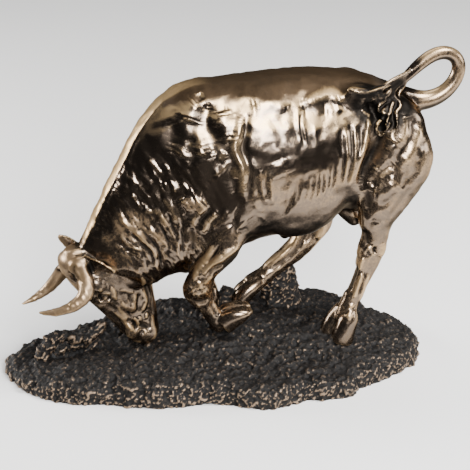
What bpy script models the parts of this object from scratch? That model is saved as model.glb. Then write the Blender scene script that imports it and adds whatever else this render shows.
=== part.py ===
import math

import bmesh
import bpy
import numpy as np
from mathutils import Matrix, Vector

# Driving sizes, metres. The free forms are drawn in millimetres at the nominal
# sizes below and stretched to whatever the sizes say.
figure_length = 0.290     # muzzle side of the base to the back of the tail loop
barrel_width = 0.067      # across the ribs
head_width = 0.031        # across the eyes
horn_thickness = 0.0116   # at the root of a horn
tail_thickness = 0.0086   # at the top of the loop
leg_thickness = 0.0100    # across the cannon bones
base_depth = 0.130        # front edge to back edge of the ground
glue_gap = 0.0003         # between the casting's feet and the ground

MM = figure_length / 290.0
BARREL = barrel_width / (67.0 * MM)
HEAD = head_width / (31.0 * MM)
HORN = horn_thickness / (11.6 * MM)
TAIL = tail_thickness / (8.6 * MM)
LEG = leg_thickness / (10.0 * MM)
DEPTH = base_depth / (130.0 * MM)

BACK_SQUARE = 0.4         # above 0 the back is a flat top with an edge
BULL_GRAIN = 1.5          # finest detail of the cast solid, drawing millimetres
GROUND_GRAIN = 2.2
BULL_FACES = 6200         # triangles left in each solid
GROUND_FACES = 2900


def curve_through(points, count):
    """Count points on a smooth curve through the rows of points."""
    p = np.asarray(points, float)
    ends = np.vstack([2 * p[0] - p[1], p, 2 * p[-1] - p[-2]])
    s = np.linspace(0, len(p) - 1, count)
    i = np.minimum(s.astype(int), len(p) - 2)
    t = (s - i)[:, None]
    a, b, c, d = ends[i], ends[i + 1], ends[i + 2], ends[i + 3]
    return 0.5 * (2 * b + (c - a) * t + (2 * a - 5 * b + 4 * c - d) * t**2
                  + (3 * b - a - 3 * c + d) * t**3)


def rings(bm, sides, rows, place):
    """Closed form made of rows of rings; place gives a ring's points."""
    loops = []
    for row in range(rows):
        made = bmesh.ops.create_circle(bm, segments=sides, radius=1.0)["verts"]
        turn = np.array([math.atan2(v.co.y, v.co.x) for v in made])
        for v, co in zip(made, place(row, turn)):
            v.co = co
        loops.append(made)
    for one, two in zip(loops, loops[1:]):
        edges = [e for ring in (one, two) for e in {e for v in ring for e in v.link_edges
                                                    if e.other_vert(v) in ring}]
        bmesh.ops.bridge_loops(bm, edges=list(dict.fromkeys(edges)))
    for ring in (loops[0], loops[-1]):
        bmesh.ops.contextual_create(bm, geom=ring)


def trunk(bm, sections, sides=24, steps=4, wide=1.0, square=0.0):
    """Form drawn by its side view. A section is x, z of one edge, x, z of the
    other edge, y, half width and how much narrower the first edge is. Above 0,
    square flattens the first edge."""
    full = [(list(s) + [0.0])[:7] for s in sections]
    count = (len(full) - 1) * steps + 1
    table = curve_through(full, count)

    def place(row, turn):
        r = table[row]
        s, c = np.sin(turn), np.cos(turn)
        c = np.sign(c) * np.abs(c) ** np.where(s > 0, 1 - square * s * s, 1.0)
        x = (r[0] + r[2]) / 2 + (r[0] - r[2]) / 2 * s
        z = (r[1] + r[3]) / 2 + (r[1] - r[3]) / 2 * s
        return np.stack([x, r[4] + r[5] * wide * c * (1 - r[6] * s), z], 1)

    rings(bm, sides, count, place)


def rope(bm, points, sides=12, steps=4, thick=1.0):
    """Tapered round form along points of x, y, z and radius."""
    count = (len(points) - 1) * steps + 1
    table = curve_through(points, count)
    path = table[:, :3]
    radius = np.maximum(table[:, 3] * thick, 0.15)
    ahead = np.gradient(path, axis=0)
    ahead /= np.linalg.norm(ahead, axis=1)[:, None]
    side = np.cross(ahead, (0.13, 0.35, 0.93))
    side /= np.linalg.norm(side, axis=1)[:, None]
    top = np.cross(side, ahead)

    def place(row, turn):
        around = side[row] * np.cos(turn)[:, None] + top[row] * np.sin(turn)[:, None]
        return path[row] + radius[row] * around

    rings(bm, sides, count, place)


def muscle(bm, centre, radii, lean=0.0, swing=0.0, detail=3):
    """Ellipsoid leaning in the side view, then swung about the upright."""
    place = (Matrix.Translation(centre) @ Matrix.Rotation(math.radians(swing), 4, "Z")
             @ Matrix.Rotation(math.radians(lean), 4, "Y") @ Matrix.Diagonal((*radii, 1)))
    bmesh.ops.create_icosphere(bm, subdivisions=detail, radius=1.0, matrix=place)


def melted(name, bm, grain, rounds):
    """One closed skin around all the forms in bm."""
    bmesh.ops.recalc_face_normals(bm, faces=bm.faces)
    mesh = bpy.data.meshes.new(name)
    bm.to_mesh(mesh)
    bm.free()
    obj = bpy.data.objects.new(name, mesh)
    bpy.context.scene.collection.objects.link(obj)
    melt = obj.modifiers.new("melt", "REMESH")
    melt.mode, melt.voxel_size, melt.adaptivity = "VOXEL", grain, 0.0
    ease = obj.modifiers.new("ease", "SMOOTH")
    ease.factor, ease.iterations = 0.5, rounds
    bake(obj)
    return obj


def bake(obj):
    graph = bpy.context.evaluated_depsgraph_get()
    graph.update()
    mesh = bpy.data.meshes.new_from_object(obj.evaluated_get(graph))
    obj.modifiers.clear()
    old, obj.data = obj.data, mesh
    bpy.data.meshes.remove(old)
    mesh.name = obj.name


def get_points(mesh):
    co = np.empty(len(mesh.vertices) * 3, np.float32)
    no = np.empty(len(mesh.vertices) * 3, np.float32)
    mesh.vertices.foreach_get("co", co)
    mesh.vertices.foreach_get("normal", no)
    return co.reshape(-1, 3).astype(float), no.reshape(-1, 3).astype(float)


def set_points(mesh, co):
    mesh.vertices.foreach_set("co", co.astype(np.float32).ravel())
    mesh.update()


def ramp(low, high, x):
    t = np.clip((x - low) / (high - low), 0, 1)
    return t * t * (3 - 2 * t)


def stroke(chart, weight, path, width, height):
    """Height of one modelling-tool stroke at every point of the chart."""
    path = np.asarray(path, float)
    length = np.linalg.norm(np.diff(path, axis=0), axis=1).sum()
    line = curve_through(path, max(8, int(2 * length / width)))
    low, high = line.min(0) - 2.5 * width, line.max(0) + 2.5 * width
    near = np.flatnonzero(((chart > low) & (chart < high)).all(1) & (weight > 0.01))
    lift = np.zeros(len(chart))
    if len(near):
        gap = np.linalg.norm(chart[near, None, :] - line[None, :, :], axis=2)
        t = gap.argmin(1) / (len(line) - 1)
        fade = ramp(0, 0.2, t) * ramp(0, 0.2, 1 - t)
        lift[near] = height * weight[near] * np.exp(-((gap.min(1) / width) ** 2)) * fade
    return lift


# Trunk and neck, tail end first: back edge, belly edge.
TRUNK = [
    (135, 146, 133, 124, -1, 9, 0.0), (131, 163, 126, 110, -1, 20, 0.05),
    (121, 175, 113, 102, 0, 27, 0.10), (106, 184, 97, 101, 0, 30, 0.18),
    (88, 190, 80, 104, 0, 31, 0.20), (66, 193, 64, 98.5, 0, 32, 0.17),
    (44, 193.5, 43, 91, 0, 33.5, 0.15), (22, 192, 24, 86.5, 0, 33.5, 0.15),
    (4, 191, 6, 78, 0, 31, 0.18), (-14, 190, -10, 68, 0, 28, 0.20),
    (-31, 182, -24, 67, 0, 24, 0.2), (-46, 165, -33, 65, -0.5, 21, 0.2),
    (-58, 143, -40, 61.5, -1, 19, 0.2), (-69, 122, -44.5, 60.5, -1, 17.5, 0.2),
    (-78, 103, -48, 63, -1, 15.5, 0.2), (-86, 88, -54, 67, -1, 12, 0.2),
]

# Head, poll to lips, before it is turned: forehead edge, jaw edge.
SKULL = [
    (-95, 88, -66, 90, 0, 9, 0.0), (-99, 78, -53, 87, 0, 13.5, 0.1),
    (-94, 68, -46.5, 81, 0, 15, -0.05), (-87, 58.5, -42, 72, 0, 14.6, -0.1),
    (-79.5, 50.2, -39, 61, 0, 12.2, -0.1), (-72.4, 42.2, -38, 50, 0, 10.0, -0.08),
    (-65.8, 34.4, -37, 41, 0, 9.0, -0.05), (-59.8, 26.6, -37, 33, 0, 9.4, 0.0),
    (-54.4, 20.8, -36.8, 27, 0, 9.2, 0.0), (-48, 17.8, -40.4, 21.6, 0, 6.4, 0.0),
]
HEAD_PIVOT = Vector((-76.0, 0.0, 72.0))
HEAD_YAW, HEAD_ROLL = 13.0, -8.0

NEAR_FORELEG = [
    (-20, 140, 22, 142, -18, 9), (-14, 122, 23, 124, -21, 10), (-8, 106, 20, 109, -23.5, 9.5),
    (-9.5, 92, 15.5, 99, -25, 8.6), (-14, 81, 11, 88, -25, 8), (-20, 73, 3.5, 78.5, -23.5, 7.2),
    (-23.5, 66.5, -3, 72, -21.5, 7.2), (-24, 60, -4.5, 64, -19.5, 7), (-21, 54, -4.5, 57, -18, 5.8),
    (-14, 47, -3.5, 51.5, -17, 5), (-9, 39, 0, 44, -16, 4.8), (-5, 32.5, 4, 39, -15.5, 5.4),
    (-1, 28, 8.5, 36.5, -15.5, 5.6),
]
FAR_FORELEG = [
    (-20, 140, 22, 142, 18, 9), (-12, 122, 22, 124, 21, 10), (-9, 106, 18, 109, 23, 9),
    (-10, 92, 13, 95, 24, 8), (-12, 80, 8, 84, 23.5, 7.4), (-12.5, 69, 5, 72, 22, 7.2),
    (-12, 62, 4.5, 64, 21, 6.8), (-8.5, 55, 3, 57, 20.5, 5.2), (-6, 48, 4.5, 49, 20.5, 5),
    (-6, 42, 6.5, 42, 20.5, 6), (-7, 36, 8, 36, 20.5, 7),
]
NEAR_HIND_LEG = [
    (84, 176, 124, 166, -16, 11), (86, 156, 133, 150, -20, 12.5), (87, 137, 133.5, 132, -22.5, 12.5),
    (87, 119, 119, 110, -24, 10.5), (88, 105, 108.5, 97, -24.5, 8), (89, 94, 107.5, 91, -24, 6.6),
    (88.5, 84, 106, 84, -23, 6.2), (87.5, 73, 102.5, 71, -22.5, 5.4), (84.5, 60, 97, 61, -22, 4.8),
    (79, 49, 91.5, 49, -22, 4.9), (75.5, 40, 88, 39, -22, 5.8), (72, 33, 87, 32, -22, 6.4),
]
FAR_HIND_LEG = [
    (76, 160, 118, 158, 17, 11), (66, 136, 116, 134, 21, 12.5), (60, 114, 106, 114, 24, 11.5),
    (59, 99, 94, 101, 25, 9), (59.5, 86, 85, 91, 24.5, 7), (57.5, 77, 83, 80, 23.5, 6.2),
    (52.5, 69, 73, 68, 22.5, 5.8), (44, 61.5, 62, 58.5, 22, 5.4), (35.5, 54.5, 50, 50.5, 22, 5.2),
    (28.5, 50, 41, 44, 22, 5.8), (23, 47.5, 34, 38, 22, 6.2),
]
# Claws of the hooves: from the coronet to the toe, x, y, z and radius.
CLAWS = [
    [(82.5, -24.8, 41, 4.6), (82, -26.5, 35, 6.2), (80, -26.8, 30, 6.8), (78.5, -27, 25, 7.2),
     (77.5, -27, 20, 7.2)],
    [(79.5, -20, 41, 4.4), (77, -18, 35, 5.6), (74, -17.6, 30, 6.0), (72.5, -17.4, 25, 6.4),
     (71.5, -17.4, 20, 6.4)],
    [(35, 19, 47, 4.4), (30, 17.4, 44, 5.2), (25, 17, 40.5, 5.8), (21.5, 16.8, 37, 6.0),
     (19.5, 16.8, 32, 6.0)],
    [(35, 24.6, 47, 4.4), (31, 26, 43, 5.2), (27, 26.4, 39.5, 5.8), (23.5, 26.6, 36, 6.0),
     (21.5, 26.6, 31, 6.0)],
    [(1, 18.4, 45, 4.4), (1, 16.6, 40, 5.2), (-0.5, 16.2, 35, 6.0), (-2, 16, 30, 6.4), (-2, 16, 25, 6.4)],
    [(1, 22.8, 45, 4.4), (1, 24.6, 40, 5.2), (-0.5, 25, 35, 6.0), (-2, 25.2, 30, 6.4), (-2, 25.2, 25, 6.4)],
]
# Claws of the folded foot, their soles turned up: sole edge, wall edge, y, half width.
FOLDED_CLAWS = [
    [(-2, 40, 6, 30, -12.8, 4.6), (2, 45, 10.5, 34, -12, 4.6), (8, 47.2, 15, 37.5, -11.6, 4.8),
     (14.5, 47.2, 18.5, 41, -11.8, 4.4), (20, 45.8, 21, 44, -12.6, 2.4)],
    [(-2, 39, 6, 29, -18.6, 4.6), (2, 44, 10.5, 33, -19.8, 4.6), (8, 46.4, 15, 36.7, -20.4, 4.8),
     (14.5, 46.4, 18.5, 40.2, -20.2, 4.4), (20, 45, 21, 43.2, -19.2, 2.4)],
]
TAIL_PATH = [
    (112, 0, 172, 9.0), (121, 0, 171, 8.4), (129, -0.5, 169.5, 7.0), (138, -1.5, 170, 5.8),
    (147, -2, 174, 5.0), (153.6, -2, 181, 4.6), (156.4, -2, 189.5, 4.4), (153.6, -2.5, 197, 4.3),
    (146, -3, 200.6, 4.3), (137, -4, 199, 4.3), (128, -6.5, 194, 4.0), (121.5, -9, 189.5, 3.6),
    (115, -12.5, 186, 3.4), (109, -16, 183.5, 3.0),
]
TUFT = [
    [(119, -11, 190, 3.0), (111, -15.5, 188, 2.8), (104, -19, 185.5, 2.4), (97, -21, 185, 2.0),
     (89, -23.5, 186, 1.8), (80, -22, 186, 1.6)],
    [(116, -13, 187, 2.4), (110, -17, 183.5, 2.6), (105, -20, 180.5, 2.6), (100, -23, 180, 2.4),
     (97, -24, 182, 1.8)],
    [(113, -15.5, 181, 2.4), (112, -20.5, 177, 2.4), (110, -25, 173, 2.2), (104.5, -27, 170.5, 2.2),
     (100.5, -30, 165.5, 1.8)],
    [(108, -26.5, 172, 1.8), (108.5, -30, 165, 1.6), (103, -30.5, 162.5, 1.6), (95.5, -30.5, 158, 1.4)],
]
NEAR_HORN = [
    (-86, -8, 80, 5.8), (-86, -13, 78.5, 5.9), (-84.6, -18, 75.5, 5.5), (-84, -22.5, 71, 5.1),
    (-86, -25.8, 66, 4.6), (-91.5, -27.2, 61.5, 3.9), (-99, -27, 58.4, 3.1), (-107, -25, 56.6, 2.1),
    (-114, -22, 56, 0.8),
]
FAR_HORN = [
    (-88, 3, 78, 5.7), (-90, 8, 75, 5.6), (-93, 13, 70, 5.2), (-96, 17, 64, 4.7),
    (-99.5, 20, 58, 4.2), (-104, 21.5, 52.5, 3.5), (-110, 21, 48.5, 2.6), (-116, 19.5, 46, 1.7),
    (-121, 17.5, 45, 0.8),
]


def drawn_bull():
    bm = bmesh.new()
    trunk(bm, TRUNK, sides=36, wide=BARREL, square=BACK_SQUARE)
    for leg in (NEAR_FORELEG, FAR_FORELEG, NEAR_HIND_LEG, FAR_HIND_LEG):
        trunk(bm, leg, sides=20, wide=LEG)
    for side in (-1, 1):
        near = side < 0
        # shoulder blade, upper arm and breast
        muscle(bm, (-7, side * 18.5 * BARREL, 134), (21, 10, 33), lean=8)
        muscle(bm, (3, side * 22 * BARREL, 120), (17, 8.5, 18), lean=-20)
        muscle(bm, (-25, side * 14 * BARREL, 98), (15, 9, 24), lean=14)
        muscle(bm, (-28, side * 9, 152), (17, 8.5, 20), lean=30)
        muscle(bm, (-50, side * 8, 124), (14, 9, 36), lean=24)
        # ribs, hip bone, rump and thigh
        muscle(bm, (48, side * 17 * BARREL, 128), (36, 17, 36))
        muscle(bm, (90, side * 19, 181), (14, 6.5, 6.5), lean=12)
        muscle(bm, (108, side * 17, 156), (22, 11, 22), lean=-20)
        muscle(bm, (110, side * 20, 137), (19, 12, 25), lean=10)
        if near:
            muscle(bm, (14, -25.5, 106), (7.5, 6.5, 8.5), lean=-20)
            muscle(bm, (100, -24, 109), (11, 8, 16), lean=20)
        else:
            muscle(bm, (14, 24, 102), (8, 6.5, 9), lean=-20)
            muscle(bm, (84, 25, 106), (22, 9, 18), lean=-24)
    # sheath and scrotum
    rope(bm, [(66, 0, 98, 6), (56, 0, 93, 5.4), (48, 0, 88.5, 4.6), (43, 0, 85, 3.4)])
    muscle(bm, (88, 0, 101), (8, 7.5, 9), lean=10)
    muscle(bm, (91, -2, 95.5), (6, 6, 6.5), lean=10)
    for claw in CLAWS:
        rope(bm, claw, sides=14)
    for claw in FOLDED_CLAWS:
        trunk(bm, claw, sides=14)
    rope(bm, TAIL_PATH, sides=16, thick=TAIL)
    for lock in TUFT:
        rope(bm, lock)
    rope(bm, NEAR_HORN, sides=14, thick=HORN)
    rope(bm, FAR_HORN, sides=14, thick=HORN)
    head = bmesh.new()
    trunk(head, SKULL, sides=30, wide=HEAD)
    for side in (-1, 1):
        y = side * HEAD
        muscle(head, (-58, y * 11, 73), (15.5, 5.5, 12), lean=50)
        muscle(head, (-79, y * 12.2, 66), (6.4, 4, 5.2), lean=40)
        muscle(head, (-64, y * 10, 55), (5, 3, 14), lean=-38)
        muscle(head, (-60, y * 7, 30), (5.5, 4, 6), lean=-30)
        muscle(head, (-89, y * 10.5, 79), (7.5, 5.5, 6.5))
    muscle(head, (-91.5, 0, 80), (7.5, 11.5, 8))
    muscle(head, (-44, 0, 28), (6.5, 7, 8), lean=20)
    turned = (Matrix.Translation(HEAD_PIVOT) @ Matrix.Rotation(math.radians(HEAD_YAW), 4, "Z")
              @ Matrix.Rotation(math.radians(HEAD_ROLL), 4, "X") @ Matrix.Translation(-HEAD_PIVOT))
    bmesh.ops.transform(head, matrix=turned, verts=head.verts)
    mesh = bpy.data.meshes.new("head")
    head.to_mesh(mesh)
    head.free()
    bm.from_mesh(mesh)
    bpy.data.meshes.remove(mesh)
    ear(bm, (-82, -12.5, 86), (-65.8, -19.5, 78), (-0.25, -0.75, -0.6))
    ear(bm, (-84, 9, 84.5), (-96, 18, 89.5), (-0.5, -0.8, -0.2))
    return melted("bull", bm, BULL_GRAIN, 3)


def ear(bm, root, tip, face):
    """Leaf-shaped cup from root to tip, hollow towards face."""
    root, tip = Vector(root), Vector(tip)
    along = (tip - root).normalized()
    face = Vector(face)
    face = (face - along * face.dot(along)).normalized()
    across = along.cross(face)
    length = (tip - root).length
    spans = [(-0.12, 3.0), (0.1, 3.8), (0.35, 4.7), (0.6, 4.5), (0.82, 3.2), (1.0, 1.2)]

    def place(row, turn):
        t, wide = spans[row]
        c, s = np.cos(turn), np.sin(turn)
        lift = 1.3 * s + 1.6 * c * c * min(1.0, wide / 4.0)
        base = np.array(root + along * length * t)
        return base + np.outer(c * wide, across) + np.outer(lift, face)

    rings(bm, 16, len(spans), place)


# Strokes drawn in the side view, both flanks: path, width, height in millimetres.
FLANK_STROKES = [
    ([(14, 179), (11, 165), (8, 154), (12, 144), (11, 127), (12, 116)], 3.6, 1.5),
    ([(19, 178), (15, 163), (13, 155), (17, 142), (16, 130), (18, 116)], 3.0, -1.4),
    ([(-32, 172), (-30, 150), (-34, 132), (-36, 112), (-34, 96)], 4.0, -1.0),
    ([(92, 184), (93, 176), (97, 163), (96, 155), (92, 145), (88, 135), (86, 120)], 3.8, -3.6),
    ([(82, 168), (83, 156), (82, 144), (79, 130)], 3.0, 1.2),
    ([(-43, 149), (-38, 141), (-34, 130)], 2.6, 1.0),
    ([(-61, 109), (-54, 104), (-49, 98), (-43, 92), (-40, 82)], 2.6, 1.1),
    ([(-57, 103), (-50, 97), (-44, 89), (-42, 78)], 2.6, -1.4),
    ([(-50, 107), (-44, 98), (-39, 89), (-37, 76)], 2.6, -1.3),
    ([(-24, 126), (-16, 121), (-9, 125)], 4.4, 1.6),
    ([(-3, 117), (-8, 110), (-12, 101)], 2.8, 1.2),
    ([(5, 118), (6, 108), (8, 99)], 2.6, -1.2),
    ([(108, 142), (100, 134), (91, 127)], 3.4, -1.6),
    ([(124, 164), (120, 152), (113, 140)], 3.2, 1.4),
]


def modelled(bull):
    """The strongest folds of the hide, cut into both flanks."""
    co, no = get_points(bull.data)
    chart = co[:, [0, 2]]
    facing = ramp(0.25, 0.7, np.abs(no[:, 1])) * ramp(6, 12, np.abs(co[:, 1]))
    lift = sum(stroke(chart, facing, *s) for s in FLANK_STROKES)
    set_points(bull.data, co + no * lift[:, None])


OUTLINE = [
    (-134, 12), (-131, -2), (-124, -18), (-111, -33), (-95, -41), (-78, -45), (-62, -52),
    (-44, -58), (-26, -57), (-8, -60), (8, -68), (24, -73), (41, -66), (58, -67), (74, -66),
    (84, -56), (98, -50), (113, -40), (126, -29), (134, -14), (134, 4), (129, 20), (118, 34),
    (104, 46), (86, 53), (66, 58), (46, 57), (26, 60), (6, 55), (-14, 54), (-34, 56), (-54, 50),
    (-72, 51), (-90, 45), (-106, 42), (-120, 34), (-130, 24),
]
# Rises of the ground: x, y, height, spread along x and y.
RISES = [
    (4, -8, 3, 26, 20), (80, -22, 2.5, 22, 18), (30, 24, 6, 26, 18), (-2, 22, 4, 20, 16),
    (-50, 0, -5.5, 18, 20), (-92, -20, 2, 20, 16), (50, -46, -2, 40, 14),
]


def ground_height(x, y):
    z = 12.0 + 14.0 * (ramp(-112, -18, x) * (1 - 0.8 * ramp(66, 130, x))
                       * (0.12 + 0.88 * ramp(-68, 2, y)))
    for cx, cy, h, sx, sy in RISES:
        z = z + h * np.exp(-(((x - cx) / sx) ** 2) - ((y - cy) / sy) ** 2)
    z = z + 1.0 * np.sin(x * 0.21 + 0.6 * np.sin(y * 0.17)) * np.cos(y * 0.19 + 0.7)
    return z + 0.7 * np.sin(x * 0.47 + 1.3) * np.sin(y * 0.41 + 0.4)


def drawn_ground():
    bm = bmesh.new()
    rim = curve_through(OUTLINE + OUTLINE[:1], 109)[:-1] * (1.0, DEPTH)
    middle = rim.mean(0)
    reach = rim - middle
    levels = [(0.965, -6.0), (1.0, 1.5), (1.0, 5.0), (0.988, 0.6), (0.965, 0.82), (0.925, 0.93),
              (0.86, 0.98), (0.76, 1.0), (0.64, 1.0), (0.51, 1.0), (0.38, 1.0), (0.24, 1.0), (0.1, 1.0)]

    def place(row, turn):
        share, level = levels[row]
        i = np.rint(np.mod(turn, 2 * math.pi) / (2 * math.pi) * len(rim)).astype(int) % len(rim)
        flat = middle + reach[i] * share
        if row < 3:
            z = np.full(len(i), level)
        else:
            z = ground_height(flat[:, 0], flat[:, 1] / DEPTH) * level
        return np.column_stack([flat, z])

    rings(bm, len(rim), len(levels), place)
    # ridge of earth under the far hind leg
    trunk(bm, [(38, 50, 57.5, 60, 22, 2.6), (37, 44, 58.5, 51, 22, 4.4), (36, 37, 59.5, 41, 22, 6.5),
               (34, 28, 62, 30, 22, 9), (32, 14, 64, 14, 22, 11)], sides=18)
    # lump behind the forefeet
    muscle(bm, (13, 22, 33), (8, 7, 10))
    # dead root at the left edge
    rope(bm, [(-113, 0, 12, 4), (-109, 1, 20, 5), (-104, 2, 26, 5), (-97, 2, 27.5, 4.2),
              (-90, 3, 25, 3.4), (-82, 4, 23, 3.2), (-75, 5, 27, 3.0), (-70, 7, 33, 2.0)])
    rope(bm, [(-104, 4, 14, 4), (-92, 6, 18, 4), (-80, 7, 18, 3.4), (-66, 8, 14, 3)])
    return melted("ground_base", bm, GROUND_GRAIN, 2)


def flattened(obj):
    """Cut the underside off flat at the floor."""
    bm = bmesh.new()
    bm.from_mesh(obj.data)
    geom = list(bm.verts) + list(bm.edges) + list(bm.faces)
    cut = bmesh.ops.bisect_plane(bm, geom=geom, plane_co=(0, 0, 0), plane_no=(0, 0, 1),
                                 clear_inner=True, dist=1e-4)["geom_cut"]
    rim = [e for e in cut if isinstance(e, bmesh.types.BMEdge)]
    bmesh.ops.edgeloop_fill(bm, edges=rim)
    bmesh.ops.recalc_face_normals(bm, faces=bm.faces)
    bm.to_mesh(obj.data)
    bm.free()


def thinned(obj, target):
    """Fewer triangles, the same form."""
    m = obj.modifiers.new("thin", "DECIMATE")
    tris = sum(len(p.vertices) - 2 for p in obj.data.polygons)
    m.ratio = min(1.0, target / tris)
    bake(obj)


def cut_by(obj, tool):
    m = obj.modifiers.new("cut", "BOOLEAN")
    m.operation, m.solver, m.object = "DIFFERENCE", "EXACT", tool
    bake(obj)


def kept_largest(obj):
    """Drop crumbs that a cut may leave beside the main body."""
    bm = bmesh.new()
    bm.from_mesh(obj.data)
    left, bodies = set(bm.verts), []
    while left:
        stack, body = [left.pop()], []
        while stack:
            v = stack.pop()
            body.append(v)
            for e in v.link_edges:
                o = e.other_vert(v)
                if o in left:
                    left.remove(o)
                    stack.append(o)
        bodies.append(body)
    bodies.sort(key=len)
    for body in bodies[:-1]:
        bmesh.ops.delete(bm, geom=body, context="VERTS")
    bmesh.ops.triangulate(bm, faces=bm.faces)
    bmesh.ops.dissolve_degenerate(bm, edges=bm.edges, dist=0.02)
    bmesh.ops.recalc_face_normals(bm, faces=bm.faces)
    bm.to_mesh(obj.data)
    bm.free()


def cast_metal(name, colour, rough, metallic):
    mat = bpy.data.materials.new(name)
    mat.use_nodes = True
    shader = mat.node_tree.nodes["Principled BSDF"]
    shader.inputs["Base Color"].default_value = (*colour, 1.0)
    shader.inputs["Roughness"].default_value = rough
    shader.inputs["Metallic"].default_value = metallic
    return mat


def main():
    for obj in list(bpy.data.objects):
        bpy.data.objects.remove(obj)
    ground = drawn_ground()
    flattened(ground)
    thinned(ground, GROUND_FACES)
    bull = drawn_bull()
    modelled(bull)
    thinned(bull, BULL_FACES)
    # the feet end a glue gap above the ground
    bed = bpy.data.objects.new("bed", ground.data.copy())
    bpy.context.scene.collection.objects.link(bed)
    bed.location.z = glue_gap / MM
    cut_by(bull, bed)
    bpy.data.objects.remove(bed)
    kept_largest(bull)
    kept_largest(ground)
    # the frame's origin is under the middle of the whole figurine
    both = [get_points(o.data)[0] for o in (ground, bull)]
    low = np.minimum(both[0].min(0), both[1].min(0))
    high = np.maximum(both[0].max(0), both[1].max(0))
    shift = np.array([(low[0] + high[0]) / 2, (low[1] + high[1]) / 2, low[2]])
    for obj, co in zip((ground, bull), both):
        set_points(obj.data, (co - shift) * MM)
        obj.data.polygons.foreach_set("use_smooth", [True] * len(obj.data.polygons))
        obj.data.update()
    bull.data.materials.clear()
    bull.data.materials.append(cast_metal("bronze finish resin", (0.29, 0.20, 0.13), 0.34, 1.0))
    ground.data.materials.clear()
    ground.data.materials.append(cast_metal("dark patinated resin", (0.055, 0.042, 0.034), 0.55, 0.6))
    print("shift", [round(float(v), 2) for v in shift], "size",
          [round(float(v), 1) for v in high - low],
          "tris", len(bull.data.polygons), len(ground.data.polygons))


main()
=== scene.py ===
import math

import bmesh
import bpy
import numpy as np
from mathutils import Matrix, Vector, noise
from mathutils.bvhtree import BVHTree


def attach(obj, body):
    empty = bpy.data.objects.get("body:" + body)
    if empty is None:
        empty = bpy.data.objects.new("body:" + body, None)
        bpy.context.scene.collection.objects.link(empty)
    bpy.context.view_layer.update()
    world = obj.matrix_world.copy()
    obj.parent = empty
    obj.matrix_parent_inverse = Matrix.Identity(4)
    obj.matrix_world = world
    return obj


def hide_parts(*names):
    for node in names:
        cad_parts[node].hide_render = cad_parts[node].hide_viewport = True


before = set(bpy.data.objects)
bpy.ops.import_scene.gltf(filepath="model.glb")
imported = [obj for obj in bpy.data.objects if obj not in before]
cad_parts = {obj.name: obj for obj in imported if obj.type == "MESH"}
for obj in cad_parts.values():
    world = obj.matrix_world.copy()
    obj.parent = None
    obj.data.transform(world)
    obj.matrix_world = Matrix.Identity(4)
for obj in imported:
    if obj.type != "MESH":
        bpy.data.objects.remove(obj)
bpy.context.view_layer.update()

# The forms are drawn in millimetres around the sculptor's own zero. The CAD
# solids sit this much further left and back in the frame.
layout = dict(
    scale=0.001,
    zero=(13.55, -6.52, 0.0),
    draftGrain=1.6,      # coarser grain
)


def toLinear(hexColour):
    out = []
    for i in (0, 2, 4):
        c = int(hexColour[i:i + 2], 16) / 255
        out.append(c / 12.92 if c <= 0.04045 else ((c + 0.055) / 1.055) ** 2.4)
    return (*out, 1.0)


def addNode(tree, kind, settings=None, values=None, links=None):
    made = tree.nodes.new(kind)
    for name, value in (settings or {}).items():
        setattr(made, name, value)
    for socket, value in (values or {}).items():
        made.inputs[socket].default_value = value
    for socket, source in (links or {}).items():
        tree.links.new(source, made.inputs[socket])
    return made


def curveThrough(points, count):
    p = np.asarray(points, float)
    ends = np.vstack([2 * p[0] - p[1], p, 2 * p[-1] - p[-2]])
    s = np.linspace(0, len(p) - 1, count)
    i = np.minimum(s.astype(int), len(p) - 2)
    t = (s - i)[:, None]
    a, b, c, d = ends[i], ends[i + 1], ends[i + 2], ends[i + 3]
    return 0.5 * (2 * b + (c - a) * t + (2 * a - 5 * b + 4 * c - d) * t**2
                  + (3 * b - a - 3 * c + d) * t**3)


def addObject(name, data):
    obj = bpy.data.objects.new(name, data)
    bpy.context.scene.collection.objects.link(obj)
    return obj


def ramp(low, high, x):
    t = np.clip((x - low) / (high - low), 0, 1)
    return t * t * (3 - 2 * t)


def addForm(bm, form):
    mesh = bpy.data.meshes.new("form")
    form.to_mesh(mesh)
    form.free()
    bm.from_mesh(mesh)
    bpy.data.meshes.remove(mesh)


def rings(bm, sides, rows, place):
    # closed form: circles moved to where place says, then bridged and capped
    form = bmesh.new()
    loops = []
    for row in range(rows):
        made = bmesh.ops.create_circle(form, segments=sides, radius=1.0)["verts"]
        turn = np.array([math.atan2(v.co.y, v.co.x) for v in made])
        for v, co in zip(made, place(row, turn)):
            v.co = co
        loops.append(made)
    for one, two in zip(loops, loops[1:]):
        edges = []
        for ring in (one, two):
            inside = set(ring)
            edges += [e for v in ring for e in v.link_edges if e.other_vert(v) in inside]
        bmesh.ops.bridge_loops(form, edges=list(dict.fromkeys(edges)))
    for ring in (loops[0], loops[-1]):
        bmesh.ops.contextual_create(form, geom=ring)
    addForm(bm, form)


def trunk(bm, sections, sides=32, steps=6, square=0.0):
    # a section: x, z of one edge, x, z of the other, y, half width, narrowing of the first edge
    full = [(list(s) + [0.0])[:7] for s in sections]
    count = (len(full) - 1) * steps + 1
    table = curveThrough(full, count)

    def place(row, turn):
        r = table[row]
        s, c = np.sin(turn), np.cos(turn)
        c = np.sign(c) * np.abs(c) ** np.where(s > 0, 1 - square * s * s, 1.0)
        x = (r[0] + r[2]) / 2 + (r[0] - r[2]) / 2 * s
        z = (r[1] + r[3]) / 2 + (r[1] - r[3]) / 2 * s
        return np.stack([x, r[4] + r[5] * c * (1 - r[6] * s), z], 1)

    rings(bm, sides, count, place)


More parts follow.
